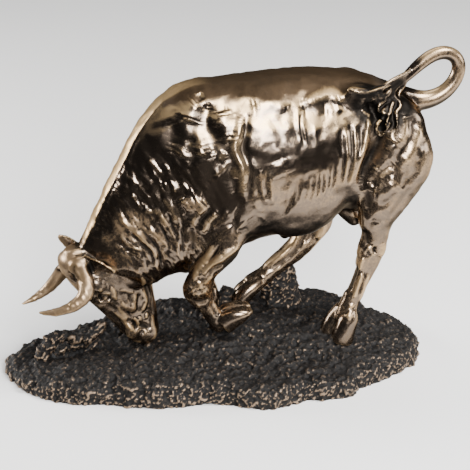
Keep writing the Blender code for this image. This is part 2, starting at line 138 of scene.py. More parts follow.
def rope(bm, points, sides=18, steps=6, easing=8):
    # a tapering cord through points of x, y, z and radius
    count = (len(points) - 1) * steps + 1
    table = curveThrough(points, count)
    for _ in range(easing):
        table[1:-1] = (table[:-2] + 2 * table[1:-1] + table[2:]) / 4
    path, radius = table[:, :3], np.maximum(table[:, 3], 0.15)
    ahead = np.gradient(path, axis=0)
    ahead /= np.linalg.norm(ahead, axis=1)[:, None]
    side = np.cross(ahead, (0.13, 0.35, 0.93))
    side /= np.linalg.norm(side, axis=1)[:, None]
    top = np.cross(side, ahead)

    def place(row, turn):
        around = side[row] * np.cos(turn)[:, None] + top[row] * np.sin(turn)[:, None]
        return path[row] + radius[row] * around

    rings(bm, sides, count, place)


def muscle(bm, centre, radii, lean=0.0, swing=0.0):
    place = (Matrix.Translation(centre) @ Matrix.Rotation(math.radians(swing), 4, "Z")
             @ Matrix.Rotation(math.radians(lean), 4, "Y") @ Matrix.Diagonal((*radii, 1)))
    form = bmesh.new()
    bmesh.ops.create_icosphere(form, subdivisions=4, radius=1.0, matrix=place)
    addForm(bm, form)


def baked(obj):
    graph = bpy.context.evaluated_depsgraph_get()
    graph.update()
    mesh = bpy.data.meshes.new_from_object(obj.evaluated_get(graph))
    obj.modifiers.clear()
    old, obj.data = obj.data, mesh
    bpy.data.meshes.remove(old)
    mesh.name = obj.name
    return obj


def melted(name, bm, grain, rounds):
    # one closed skin around all the overlapping forms
    bmesh.ops.recalc_face_normals(bm, faces=bm.faces)
    mesh = bpy.data.meshes.new(name)
    bm.to_mesh(mesh)
    bm.free()
    obj = addObject(name, mesh)
    melt = obj.modifiers.new("melt", "REMESH")
    melt.mode, melt.voxel_size, melt.adaptivity = "VOXEL", grain, 0.0
    ease = obj.modifiers.new("ease", "SMOOTH")
    ease.factor, ease.iterations = 0.5, rounds
    return baked(obj)


def getPoints(mesh):
    co = np.empty(len(mesh.vertices) * 3, np.float32)
    no = np.empty(len(mesh.vertices) * 3, np.float32)
    mesh.vertices.foreach_get("co", co)
    mesh.vertices.foreach_get("normal", no)
    return co.reshape(-1, 3).astype(float), no.reshape(-1, 3).astype(float)


def setPoints(mesh, co):
    mesh.vertices.foreach_set("co", co.astype(np.float32).ravel())
    mesh.update()


def edgePairs(mesh):
    pairs = np.empty(len(mesh.edges) * 2, np.int32)
    mesh.edges.foreach_get("vertices", pairs)
    return pairs.reshape(-1, 2)


def spread(values, pairs, rounds):
    # average with the neighbours, rounds times
    n = len(values)
    one, two = pairs[:, 0], pairs[:, 1]
    links = np.bincount(one, minlength=n) + np.bincount(two, minlength=n)
    flat = values.reshape(n, -1)
    for _ in range(rounds):
        total = np.stack([np.bincount(one, flat[two, k], n) + np.bincount(two, flat[one, k], n)
                          for k in range(flat.shape[1])], 1)
        flat = 0.5 * flat + 0.5 * total / np.maximum(links, 1)[:, None]
    return flat.reshape(values.shape)


def stroke(chart, weight, path, width, fade=0.22):
    # one pull of the modelling tool over the chart: 1 in its middle, 0 beside it
    path = np.asarray(path, float)
    length = np.linalg.norm(np.diff(path, axis=0), axis=1).sum()
    line = curveThrough(path, max(8, int(2.5 * length / width)))
    low, high = line.min(0) - 2.6 * width, line.max(0) + 2.6 * width
    near = np.flatnonzero(((chart > low) & (chart < high)).all(1) & (weight > 0.01))
    pull = np.zeros(len(chart))
    if len(near):
        gap = np.full(len(near), 1e9)
        at = np.zeros(len(near))
        for k in range(0, len(line), 24):
            d = np.linalg.norm(chart[near, None, :] - line[None, k:k + 24, :], axis=2)
            best = d.argmin(1)
            less = d.min(1) < gap
            gap = np.where(less, d.min(1), gap)
            at = np.where(less, best + k, at)
        t = at / (len(line) - 1)
        ends = ramp(0, fade, t) * ramp(0, fade, 1 - t)
        slim = width * (0.65 + 0.35 * np.sin(math.pi * t))
        pull[near] = weight[near] * np.exp(-((gap / slim) ** 2)) * ends
    return pull


def giveAttribute(mesh, name, values):
    layer = mesh.attributes.new(name, "FLOAT", "POINT")
    layer.data.foreach_set("value", np.clip(values, 0, 1).astype(np.float32))


bull = dict(
    grain=0.7,           # finest form of the casting, mm
    easing=3,
    bodyGrain=1.3,       # trunk and muscles are melted first, so that they flow
    bodyEasing=40,
    bodySwell=0.8,       # gives back what the easing takes
    # unevenness of the hide: texture, size, strength
    hide=[("CLOUDS", 11.0, 1.5), ("CLOUDS", 5.0, 0.5)],
    backSquare=0.4,      # above 0 the back is a flat top with an edge
    farThighSwing=24,
    creaseDepth=0.6, creaseRun=(0.49, 0.87),
    markPerHeight=0.8, widestMark=4,      # strokes this fine also get gold as wear and painted highlight, or black as wash and painted shade
    footHeight=48, soleDepth=0.9,
    crestHeight=0.7,
    mostFaces=192000,
    # trunk and neck from the tail end: back edge, belly edge, y, half width, narrowing
    trunk=[
        (135, 146, 133, 124, -1, 9, 0.0), (131, 163, 126, 110, -1, 20, 0.05),
        (121, 175, 113, 102, 0, 27, 0.10), (106, 184, 97, 101, 0, 30, 0.18),
        (88, 190, 80, 104, 0, 31, 0.2), (66, 193, 64, 98.5, 0, 32, 0.17),
        (44, 193.5, 43, 91, 0, 33.5, 0.15), (22, 192, 24, 86.5, 0, 33.5, 0.15),
        (4, 191, 6, 78, 0, 31, 0.18), (-14, 190, -10, 68, 0, 28, 0.2),
        (-31, 182, -24, 67, 0, 24, 0.2), (-46, 165, -33, 65, -0.5, 21, 0.2),
        (-58, 143, -40, 61.5, -1, 19, 0.2), (-69, 122, -44.5, 60.5, -1, 17.5, 0.2),
        (-78, 103, -48, 63, -1, 15.5, 0.2), (-86, 88, -54, 67, -1, 12, 0.2),
    ],
    nearForeleg=[
        (-20, 140, 22, 142, -18, 9), (-14, 122, 23, 124, -21, 10), (-8, 106, 20, 109, -23.5, 9.5),
        (-9.5, 92, 15.5, 99, -25, 8.6), (-14, 81, 11, 88, -25, 8), (-20, 73, 3.5, 78.5, -23.5, 7.2),
        (-23.5, 66.5, -3, 72, -21.5, 7.2), (-24, 60, -4.5, 64, -19.5, 7), (-21, 54, -4.5, 57, -18, 5.8),
        (-14, 47, -3.5, 51.5, -17, 5), (-9, 39, 0, 44, -16, 4.8), (-5, 32.5, 4, 39, -15.5, 5.4),
        (-1, 28, 8.5, 36.5, -15.5, 5.6),
    ],
    farForeleg=[
        (-20, 140, 22, 142, 18, 9), (-12, 122, 22, 124, 21, 10), (-9, 106, 18, 109, 23, 9),
        (-10, 92, 13, 95, 24, 8), (-12, 80, 8, 84, 23.5, 7.4), (-12.5, 69, 5, 72, 22, 7.2),
        (-12, 62, 4.5, 64, 21, 6.8), (-8.5, 55, 3, 57, 20.5, 5.2), (-6, 48, 4.5, 49, 20.5, 5),
        (-6, 42, 6.5, 42, 20.5, 6), (-7, 36, 8, 36, 20.5, 7),
    ],
    nearHindLeg=[
        (84, 176, 124, 166, -16, 11), (86, 156, 133, 150, -20, 12.5), (87, 137, 133.5, 132, -22.5, 12.5),
        (87, 119, 119, 110, -24, 10.5), (88, 105, 108.5, 97, -24.5, 8), (89, 94, 107.5, 91, -24, 6.6),
        (88.5, 84, 106, 84, -23, 6.2), (87.5, 73, 102.5, 71, -22.5, 5.4), (84.5, 60, 97, 61, -22, 4.8),
        (79, 49, 91.5, 49, -22, 4.9), (75.5, 40, 88, 39, -22, 5.8), (72, 33, 87, 32, -22, 6.4),
    ],
    farHindLeg=[
        (76, 160, 118, 158, 17, 11), (66, 136, 116, 134, 21, 12.5), (60, 114, 106, 114, 24, 11.5),
        (59, 99, 94, 101, 25, 9), (59.5, 86, 85, 91, 24.5, 7), (57.5, 77, 83, 80, 23.5, 6.2),
        (52.5, 69, 73, 68, 22.5, 5.8), (44, 61.5, 62, 58.5, 22, 5.4), (35.5, 54.5, 50, 50.5, 22, 5.2),
        (28.5, 50, 41, 44, 22, 5.8), (23, 47.5, 34, 38, 22, 6.2),
    ],
    # x, y, z, radius from the coronet to the toe
    claws=[
        [(82.5, -24.8, 41, 4.6), (82, -26.5, 35, 6.2), (80, -26.8, 30, 6.8),
         (78.5, -27, 25, 7.2), (77.5, -27, 20, 7.2)],
        [(79.5, -20, 41, 4.4), (77, -18, 35, 5.6), (74, -17.6, 30, 6),
         (72.5, -17.4, 25, 6.4), (71.5, -17.4, 20, 6.4)],
        [(35, 19, 47, 4.4), (30, 17.4, 44, 5.2), (25, 17, 40.5, 5.8),
         (21.5, 16.8, 37, 6), (19.5, 16.8, 32, 6)],
        [(35, 24.6, 47, 4.4), (31, 26, 43, 5.2), (27, 26.4, 39.5, 5.8),
         (23.5, 26.6, 36, 6), (21.5, 26.6, 31, 6)],
        [(1, 18.4, 45, 4.4), (1, 16.6, 40, 5.2), (-0.5, 16.2, 35, 6),
         (-2, 16, 30, 6.4), (-2, 16, 25, 6.4)],
        [(1, 22.8, 45, 4.4), (1, 24.6, 40, 5.2), (-0.5, 25, 35, 6),
         (-2, 25.2, 30, 6.4), (-2, 25.2, 25, 6.4)],
    ],
    # folded foot, soles up: sole edge, wall edge, y, half width
    foldedClaws=[
        [(-2, 40, 6, 30, -12.8, 4.6), (2, 45, 10.5, 34, -12, 4.6), (8, 47.2, 15, 37.5, -11.6, 4.8),
         (14.5, 47.2, 18.5, 41, -11.8, 4.4), (20, 45.8, 21, 44, -12.6, 2.4)],
        [(-2, 39, 6, 29, -18.6, 4.6), (2, 44, 10.5, 33, -19.8, 4.6), (8, 46.4, 15, 36.7, -20.4, 4.8),
         (14.5, 46.4, 18.5, 40.2, -20.2, 4.4), (20, 45, 21, 43.2, -19.2, 2.4)],
    ],
    # on both flanks: centre, radii, lean
    muscles=[
        ((-7, 18.5, 134), (21, 10, 33), 8), ((3, 22, 120), (17, 8.5, 18), -20),
        ((-25, 14, 98), (15, 9, 24), 14), ((-28, 9, 152), (17, 8.5, 20), 30),
        ((-50, 8, 124), (14, 9, 36), 24), ((48, 17, 128), (36, 17, 36), 0),
        ((90, 19, 181), (14, 6.5, 6.5), 12), ((108, 17, 156), (22, 11, 22), -20),
        ((110, 20, 137), (19, 12, 25), 10),
    ],
    nearMuscles=[((14, -25.5, 106), (7.5, 6.5, 8.5), -20), ((100, -24, 109), (11, 8, 16), 20)],
    farMuscles=[((14, 24, 102), (8, 6.5, 9), -20), ((84, 25, 106), (22, 9, 18), -24)],
    sheath=[(66, 0, 98, 6), (56, 0, 93, 5.4), (48, 0, 88.5, 4.6), (43, 0, 85, 3.4)],
    scrotum=[((88, 0, 101), (8, 7.5, 9), 10), ((91, -2, 95.5), (6, 6, 6.5), 10)],
)

# the head is drawn straight and then turned towards the viewer
bullHead = dict(
    pivot=(-76.0, 0.0, 72.0), yaw=13.0, roll=-8.0,
    poll=(-82, 88), axis=(0.459, -0.888),
    skull=[
        (-95, 88, -66, 90, 0, 9, 0.0), (-99, 78, -53, 87, 0, 13.5, 0.1),
        (-94, 68, -46.5, 81, 0, 15, -0.05), (-87, 58.5, -42, 72, 0, 14.6, -0.1),
        (-79.5, 50.2, -39, 61, 0, 12.2, -0.1), (-72.4, 42.2, -38, 50, 0, 10.0, -0.08),
        (-65.8, 34.4, -37, 41, 0, 9.0, -0.05), (-59.8, 26.6, -37, 33, 0, 9.4, 0.0),
        (-54.4, 20.8, -36.8, 27, 0, 9.2, 0.0), (-48, 17.8, -40.4, 21.6, 0, 6.4, 0.0),
    ],
    muscles=[
        ((-58, 11, 73), (15.5, 5.5, 12), 50), ((-79, 12.2, 66), (6.4, 4, 5.2), 40),
        ((-64, 10, 55), (5, 3, 14), -38), ((-56.5, 6, 30.5), (4.6, 3.4, 6), -30),
        ((-89, 10.5, 79), (7.5, 5.5, 6.5), 0),
    ],
    midMuscles=[((-91.5, 0, 80), (7.5, 11.5, 8), 0), ((-44, 0, 28), (6.5, 7, 8), 20)],
    nearHorn=[
        (-86, -8, 80, 5.8), (-86, -13, 78.5, 5.9), (-84.6, -18, 75.5, 5.5), (-84, -22.5, 71, 5.1),
        (-86, -25.8, 66, 4.6), (-91.5, -27.2, 61.5, 3.9), (-99, -27, 58.4, 3.1), (-107, -25, 56.6, 2.1),
        (-114, -22, 56, 0.8),
    ],
    farHorn=[
        (-88, 3, 78, 5.7), (-90, 8, 75, 5.6), (-93, 13, 70, 5.2), (-96, 17, 64, 4.7),
        (-99.5, 20, 58, 4.2), (-104, 21.5, 52.5, 3.5), (-110, 21, 48.5, 2.6), (-116, 19.5, 46, 1.7),
        (-121, 17.5, 45, 0.8),
    ],
    # eyeball, then lids around it
    eye=((-74.6, 10.7, 56.6), (2.3, 2.0, 2.3)),
    lids=[
        [(-80.5, 11.4, 58.6, 0.5), (-78.2, 13.0, 60.2, 0.9), (-75, 13.8, 60.4, 1.1),
         (-72, 13.5, 58.4, 1.0), (-70.4, 12.8, 55.8, 0.6)],
        [(-79.6, 11.2, 57.6, 0.5), (-78.2, 10.8, 54.2, 0.8), (-75, 11.2, 52.6, 0.9),
         (-72.2, 12.0, 53.6, 0.8), (-70.6, 12.8, 55.8, 0.5)],
    ],
    # root, tip and the way the cup faces
    ears=[((-82, -12.5, 86), (-65.8, -19.5, 78), (-0.25, -0.75, -0.6)),
          ((-84, 9, 84.5), (-96, 18, 89.5), (-0.5, -0.8, -0.2))],
    earSpans=[(-0.12, 3.0), (0.1, 3.8), (0.35, 4.7), (0.6, 4.5), (0.82, 3.2), (1.0, 1.2)],
)

bullTail = dict(
    path=[
        (112, 0, 172, 9.0), (121, 0, 171, 8.4), (129, -0.5, 169.5, 7.0), (138, -1.5, 170, 5.8),
        (147, -2, 174, 5.0), (153.6, -2, 181, 4.6), (156.4, -2, 189.5, 4.4), (153.6, -2.5, 197, 4.3),
        (146, -3, 200.6, 4.3), (137, -4, 199, 4.3), (128, -6.5, 194, 4.0), (121.5, -9, 189.5, 3.4),
        (115, -12.5, 186, 2.6), (109, -16, 183.5, 1.4),
    ],
    tipShare=0.7,
    # the tuft falls over the thigh in curls of single thick hairs: radius, then x, y, z of
    # each point on the way
    tuft=[
        (1.35, 121.6, -10.5, 192.1, 116.2, -13.4, 191, 111, -16.2, 189.9, 106.4, -18.6, 189, 103.5,
         -20, 187.1, 100.4, -19.9, 186, 97.3, -20, 185.9, 93.6, -21.9, 185.1, 89.8, -23.9, 185.6, 86,
         -23.9, 186.5, 81.8, -23, 187.5, 79.4, -22.7, 186.9, 78.7, -23.1, 185.2),
        (1.1, 120.8, -10.9, 191.6, 116.2, -13.5, 190.1, 111, -16, 188.9, 107.2, -18.2, 187.6, 104.8,
         -20.3, 185.8, 99.1, -22.4, 186.2, 94.1, -24.2, 185.1, 89.5, -25.2, 184.2, 85.7, -25.2, 185,
         82.1, -24.5, 186.3, 80.4, -23.8, 185.6),
        (1.1, 121.6, -10.5, 190.8, 117.1, -13, 189.2, 112.5, -15.4, 188.3, 108.2, -17.4, 186.9, 106.7,
         -18.4, 184.5, 107.1, -19.2, 182.1, 104.8, -20.8, 180.2, 101, -23, 179.2, 97.4, -24.3, 180.5,
         96.9, -23.9, 182.6, 100.5, -22.2, 182.8, 104.4, -20.2, 180.7),
        (1.1, 120.9, -10.9, 189.7, 116.4, -13.3, 188.1, 112.6, -15.5, 186.4, 108.8, -17.5, 184.7,
         105.8, -19.3, 182.9, 102.8, -21.2, 180.5, 99, -23.1, 180.7),
        (1.15, 120.2, -11.3, 189.2, 116.4, -13.3, 186.8, 113.4, -15.1, 184.3, 109.8, -16.7, 182.5,
         108.8, -18, 180.4, 109.7, -19.6, 177.9, 111.7, -21.5, 176.8, 112.4, -23.7, 174.9, 110.6,
         -25.6, 173, 107.6, -27.2, 171.8),
        (1.1, 119.5, -11.8, 187.4, 118, -12.7, 184.6, 116.5, -13.7, 182.4, 113.6, -15, 181.1, 112.3,
         -17.3, 178.7, 112.6, -20.6, 176.5, 112.2, -24.4, 174.5),
        (1, 117.1, -13, 188, 114.1, -14.8, 184.8, 110.4, -16.6, 183.1, 107.4, -18.4, 181.2, 105.6,
         -20.3, 178.7, 102.1, -21.8, 176.9, 105.9, -21.9, 177.3, 110, -20.9, 177.4),
        (1.1, 108, -19, 178.2, 104.4, -22.7, 175.7, 101.7, -25.5, 173.6, 102.6, -27.1, 171.5, 100,
         -27.5, 170.5, 98.8, -26.8, 172.9, 101.7, -25.5, 173.9),
        (1.2, 107.6, -22.6, 176.8, 104.9, -25.4, 174, 104.3, -27.8, 170.9, 102.6, -29.6, 168.4, 100.4,
         -30.8, 165.8, 100.9, -31.8, 162.9),
        (1, 103.1, -22.5, 178.3, 98.8, -24.4, 176.6, 95.9, -26, 174.1, 97, -26.9, 171.2, 98.1, -27.1,
         172.4),
        (1, 104.3, -30.4, 166.6, 102.3, -31.3, 162.6, 100.3, -31.7, 160.9, 97.2, -31.7, 159.5, 94.8,
         -31.4, 158),
        (1, 99.5, -29.4, 169.2, 96.2, -29.8, 167, 94.9, -30.4, 163.5, 95.4, -31.1, 160.4),
        (1.1, 108.3, -27.1, 171.7, 108.2, -29, 168.5, 108.8, -30.5, 165.1, 107.2, -31.9, 162.5),
        (0.9, 101.9, -21.4, 185.7, 97.5, -23.7, 182.9, 94, -25.4, 180.4, 91.9, -26.1, 177.6),
    ],
)

# strokes of the modelling tool in the side view, where the folds and tendons of the
# real casting run: width and height in mm, then x, z of each point on the way
bullStrokes = dict(
    neckFolds=[
        (2, 0.71, -63.4, 107.9, -61.1, 109, -58.7, 108.8, -56.5, 106.5, -53.6, 103.9, -51.3, 100.8,
         -49, 97.5, -46, 95.4, -43, 92.5, -41.1, 88.9, -39.8, 83.8),
        (3.19, 0.48, -55.1, 110.9, -52.3, 109.1, -50, 105.3),
        (2.92, 0.71, -49.8, 112.3, -45.5, 116.2, -41.9, 116.8, -38.4, 115.6, -36.2, 112.5, -35, 107.9,
         -33.8, 100.4),
        (1.6, 0.62, -63, 103.6, -60.8, 99.8, -58.6, 96, -56.2, 94.4, -52.7, 92.8, -49.7, 91.4, -47.9,
         88.7),
        (1.33, 0.42, -69.1, 95.3, -65.1, 93.8, -61.1, 92.7, -57.5, 90.8, -54, 89.6, -50.4, 87.5, -47.9,
         84.6),
        (1.33, 0.33, -67.1, 89.9, -63, 88.8, -58.9, 87.6, -55.3, 85.6),
        (1.47, 0.42, -77.9, 94.3, -75, 93.4, -71.6, 91.3),
        (1.47, 0.33, -74.6, 89.7, -71.7, 88, -69.5, 84.9),
        (2.39, 0.71, -37.1, 122, -35.3, 123.7, -33.6, 122.1, -31.3, 118.4, -29.6, 114.5, -28.4, 110.5,
         -27.2, 104.4),
        (1.47, 0.53, -30.5, 125.3, -28.3, 119.7, -26.6, 114.5, -24.9, 108.5),
        (1.33, 0.33, -33.2, 106.5, -30.8, 102.4, -29, 99),
        (1.33, 0.38, -24.2, 100.3, -22.9, 95.4, -21.5, 88.7),
        (2.66, 0.53, -45.9, 103.5, -42.3, 102.7, -39.3, 99.2, -36.3, 93.7),
        (1.6, 0.38, -37.5, 91.6, -35, 87.9, -34.2, 81.9),
        (1.6, 0.42, -41.1, 83.9, -39, 77.7, -38.4, 69.8),
        (1.47, 0.29, -28.4, 99, -27.2, 92.1, -27.6, 84.9), (1.6, 0.24, -43.9, 110.5, -41.5, 112.4),
        (1.51, -1.1, -56.6, 103.2, -53.7, 100.1, -50.8, 97.5, -47.8, 94, -44.8, 90.5, -43, 85.6, -42.3,
         78.3),
        (1.43, -1.1, -50, 107.3, -47.7, 102.9, -44.8, 98.8, -41.1, 94.5, -38.7, 89.5, -37.3, 82, -36.9,
         74.7),
        (1.36, -0.98, -41.5, 110.5, -38, 107.2, -35.7, 102.5, -33.3, 95.7, -32, 88),
        (1.21, -0.82, -34.9, 117.7, -32.6, 113.8, -31.4, 109.2, -29.6, 103.8, -27.2, 97.7),
        (0.83, -0.55, -29.4, 124.1, -27.2, 117.7, -25.5, 111.2, -23.6, 103.1),
        (1.66, -0.88, -26, 107.1, -24.2, 97.6, -24, 87.4),
        (2.26, -0.98, -20.2, 108, -18.2, 97.5, -18.8, 85.3),
        (0.61, -0.44, -58, 95.3, -53.9, 93.8, -49.7, 92.1),
        (0.68, -0.49, -60.5, 92.1, -55.8, 90.2, -51, 88.2, -47.9, 85.3),
        (0.83, -0.6, -82, 91, -77.4, 91.9, -74, 90.4, -71.2, 87.4),
        (0.68, -0.33, -71.5, 93.2, -67, 91.8, -62.3, 90.1),
        (0.61, -0.33, -67.2, 83.1, -63.7, 79.8, -61.2, 75.2),
        (0.68, -0.33, -79, 100.1, -75.3, 99, -71.3, 98.3),
        (0.61, -0.27, -77.1, 103.4, -74, 102.1, -70.6, 101.5),
        (1.06, 0.24, -78.1, 98.3, -74.8, 97.3, -70.3, 95.8), (0.61, -0.22, -75.1, 106.6, -71.5, 105.5),
        (1.21, -0.49, -71.1, 102, -67.9, 98.7, -63.3, 95.8), (1.86, 0.29, -66.5, 103.9, -64.3, 100.3),
        (0.61, -0.49, -66.1, 128.4, -63.8, 129, -61.3, 127.7, -58.7, 125.2),
        (0.61, -0.44, -65.1, 126.4, -62.5, 126.3, -60.5, 123.7),
        (1.2, 0.29, -56.6, 138.7, -52.4, 134.6, -47.4, 129.2), (1.06, 0.19, -54.2, 141.3, -48.8, 137.1),
        (1.33, 0.38, -55.1, 127.2, -51.2, 123.6, -47.8, 118.8),
        (0.68, -0.44, -52.8, 126.1, -49.5, 121.2, -46.7, 116.8),
        (2, 0.67, -43.5, 149.1, -41.3, 146.3, -38.6, 142.3, -35.4, 137.6),
        (1.6, 0.42, -34.9, 135.8, -33.9, 131.5, -32.9, 126.6),
        (0.9, -0.44, -41.4, 145.1, -38.2, 139.9, -35.5, 134.5), (1.74, 0.29, -35, 146, -31.7, 142.6),
        (1.74, 0.33, -41.3, 134.3, -39.8, 130.1),
        (1.74, 0.58, -30.2, 135.3, -29.1, 132.2, -28.1, 128.5), (0.76, -0.38, -32.6, 134, -31.1, 127.8),
        (2, 0.42, -23.2, 138.1, -25, 134.2, -24, 129.3, -22.3, 126.8),
    ],
    shoulderForms=[
        (3.52, 1.2, 14.5, 178.9, 11.9, 171.3, 10.8, 164.6, 8.7, 158.8, 7.9, 154, 10.1, 149.3, 12.3,
         144.4, 11.6, 137, 11, 127.3, 11.7, 118.7),
        (2.4, -1.3, 17.3, 177.9, 15.2, 169.1, 12.9, 161.1, 11.5, 155.3, 13.6, 148.1, 15.2, 141.9, 14.6,
         131.8, 15.4, 119.7),
        (3.6, -0.9, 3.3, 155.2, 4.7, 146.2, 5, 137, 6.1, 126.8),
        (6, 1.4, -19.5, 170.8, -17.2, 177.5, -13.1, 182.9), (4, 0.9, -2.9, 167.8, -2.2, 176.7),
        (5, 1.3, 4.1, 158.7, 3, 169, 1.5, 177.8), (5.5, 1.3, -24.8, 151, -22.3, 155.8),
        (5.5, 1.3, -14.1, 152, -13.1, 158.3), (3.74, 0.96, 7.4, 137, 7, 145.6),
        (3.74, 0.72, -2.3, 148.1, 1.5, 154), (1.98, 0.64, -6.2, 138.4, -0.7, 143.2, 5.4, 149.2),
        (4.5, -1.2, -6.7, 183, -7.7, 173.3, -7.5, 162.2, -5.3, 149.4),
        (3, -0.9, -18.9, 162.8, -18.5, 155.1, -19.6, 145.8),
        (4.5, -0.9, -28.5, 172.5, -27.6, 163.1, -30, 151.3), (2, -0.8, -9.6, 183, -11.3, 187),
        (4.4, 2, -25.8, 126.7, -21.8, 122.5, -16, 121.3, -10.6, 125.2),
        (4, 0.8, -23.5, 126.8, -18.3, 127.1, -12.4, 127.1),
        (2.64, -0.99, -24.3, 116, -19, 114.2, -14.3, 116.8),
        (1.98, 0.66, -8.9, 122.6, -12.5, 117.5, -15.5, 114.9, -17.9, 111.6, -19.1, 106.2),
        (2.64, 0.79, -3, 116.8, -7.1, 112.2, -10.1, 107.5, -12.4, 101.3),
        (1.85, 0.44, 4.2, 117.3, -0.1, 115, -4.2, 110.9, -7.1, 104.8),
        (1.92, -0.88, 0, 116.2, -4.8, 112.2, -8.3, 106.8, -10, 99.9),
        (1.8, -0.83, -6.5, 121.3, -10.7, 116.2, -13.7, 112.2, -16.1, 105.5),
        (2.16, -0.83, 7.2, 110.9, 1, 108, -3.7, 103.8, -6.6, 98.3),
        (2.11, 0.44, 4.6, 107.9, -1.4, 104.7, -6, 99.7),
        (5.28, 0.88, 7.3, 116.5, 12.4, 114.6, 15.6, 110.3), (3.96, 0.4, 10.3, 109.9, 13.6, 106.8),
        (1.56, -0.77, 4.7, 113.6, 6.5, 109, 6.4, 103.9, 8.4, 98.3),
        (1.92, -0.83, 7.1, 104.5, 11.6, 103.8, 16.2, 105),
    ],
    ribForms=[
        (1.8, 0.45, 22.5, 146.1, 22.4, 136.6, 23.8, 126.6, 26.7, 119.4),
        (1.6, -0.45, 25.5, 144.1, 25.5, 133.2, 27, 124.3),
        (1.6, 0.45, 27.9, 138.9, 28.7, 129.6, 30.5, 118.4),
        (1.8, -0.4, 19.5, 146.2, 20, 133.5, 21.5, 123.4),
        (1, 0.3, 17.9, 119.5, 21.1, 117.8, 23.8, 114.6),
        (1, 0.3, 19.5, 113.7, 23.4, 111.7, 27.1, 106.6),
        (1.3, 0.35, 47.1, 177.8, 46.8, 168.4, 48.1, 156.6),
        (1.2, 0.4, 50.1, 176.5, 49.8, 166.4, 51.8, 155), (1, -0.3, 48.7, 175.5, 48.5, 165.4, 50, 155.8),
        (1.2, 0.2, 57, 169.3, 57.1, 160, 58.1, 152.7), (0.9, 0.2, 53, 137.5, 52.4, 128, 50.1, 119.5),
        (0.9, 0.23, 56.8, 139, 56.2, 128.8, 54.6, 119),
        (0.9, 0.25, 60, 139.9, 59.5, 129.7, 57.9, 119.3),
        (0.9, 0.25, 63.2, 140.9, 63.4, 130.5, 61.1, 120.2),
        (0.9, 0.28, 66.4, 143.1, 66.8, 131.3, 64.4, 121),
        (1, 0.3, 69.6, 145.4, 69.9, 133.6, 67.8, 123.1),
        (0.8, -0.2, 54.9, 137.9, 54.3, 128.4, 52, 119.3),
        (0.8, -0.23, 58.8, 139.4, 58.2, 129.3, 55.9, 119.6),
        (0.8, -0.25, 62, 140.3, 61.5, 130.1, 59.1, 119.8),
        (0.8, -0.25, 65.1, 142, 64.8, 130.9, 62.4, 120.7),
        (0.8, -0.25, 68.3, 144.2, 68, 132.5, 65.7, 122.1),
        (0.9, 0.15, 44.8, 136.3, 44.2, 127.3, 42.6, 119.4),
        (0.9, 0.17, 48.6, 136.6, 48, 127.7, 46.3, 119.1),
        (0.9, 0.12, 40.4, 135.3, 39.3, 125.6, 38.4, 118.2),
        (3.5, 1.4, 48.5, 179.3, 58.4, 181.8, 68.3, 183.6, 74.3, 181.1, 76.9, 176.6),
        (5, 0.8, 18.2, 180.5, 30.3, 181.3, 43.7, 180.7), (5, -0.7, 47.8, 172.3, 58, 173.7, 68.3, 174),
        (1.4, 0.4, 69.4, 182.5, 72, 178, 73.9, 172.4),
        (1.1, -0.35, 72.1, 183.3, 74.6, 178.9, 76.6, 173.3), (8, 0.6, 34.2, 148.5, 37.2, 138.8),
    ],
    flankFolds=[
        (1.79, 0.67, 76, 166.5, 76.8, 157.1, 77.2, 147.3, 76.2, 137, 74.4, 126.1),
        (1.65, -0.56, 73.3, 165.6, 73.5, 154.3, 74.1, 141.8, 72.9, 127.7),
        (1.51, 0.39, 70.9, 151.5, 71.6, 138.8, 71.1, 125.2),
        (2.06, 0.73, 81.9, 168.3, 82.5, 156.6, 81.7, 144.3, 79.6, 132.6, 77.9, 124.2),
        (1.65, -0.67, 79.3, 167.4, 79.9, 153.8, 79.2, 141.4, 77.2, 130.1),
        (1.51, -0.45, 85.7, 166.8, 85.8, 156.3, 84.3, 145.4),
        (1.51, 0.67, 87.5, 174.8, 88.6, 172.4, 91, 170.9, 93.4, 171.2),
        (2.06, 1.06, 91.6, 171.2, 91.3, 167.1, 90.5, 161.8, 88.9, 154.8, 86.2, 146.5, 83.8, 137.7,
         81.4, 126.8),
        (3.96, -3.78, 91.5, 184.2, 92.3, 177.2, 95.1, 170, 97.7, 163, 96.3, 154.6, 92.6, 146, 88.9,
         138.6, 86.8, 130.6, 85.9, 120.5),
        (3.02, -0.89, 103.5, 171.7, 105.3, 166.2, 106.9, 161.5),
        (3.44, -1.12, 89.7, 123.7, 91.4, 117.4, 90.7, 109.1),
        (2.48, 0.61, 87.1, 126.4, 87.5, 114.9, 88.3, 102.2, 89.3, 91.3),
    ],
    thighForms=[
        (6.5, 0.99, 105.1, 162.7, 106.1, 158, 104.1, 154.5), (2.48, 0.6, 95.5, 167.1, 95.9, 163.6),
        (4.12, 1.2, 111.2, 157.6, 106.5, 152, 101.5, 147.9, 97.4, 142.2, 93.3, 134.5),
        (3.58, -0.84, 102.2, 150.9, 97.4, 144.7, 93.9, 138.4),
        (4.4, -1.32, 108.3, 143.3, 102.1, 136.6, 96.3, 130.1, 90.7, 126.5),
        (2.2, 0.78, 96.3, 132, 100.9, 135.4, 105.8, 138.4),
        (3.58, 0.85, 114, 170.7, 113.9, 164.1, 112.6, 157.5, 109.7, 151.8),
        (2.93, -0.72, 109.8, 170.1, 110.4, 163.4, 108.6, 156.7),
        (3.58, -0.72, 118.6, 167.9, 118.4, 160.1, 115.7, 153.6, 112.1, 145.5),
        (3.9, 0.9, 124.5, 165.5, 123.4, 158, 120.5, 152.9, 115.4, 145.2, 110.9, 135.6),
        (3.58, 0.59, 127, 149.3, 125.9, 139.8, 122.1, 128.7),
        (2.93, -0.59, 120.8, 144.5, 119.6, 134.6, 116.7, 125.7),
        (2.6, -0.54, 114.7, 141.6, 113.6, 131.4, 110.7, 123.8),
        (2.2, -0.6, 118, 126.8, 113.1, 118.6, 107.7, 111, 102.5, 102.3),
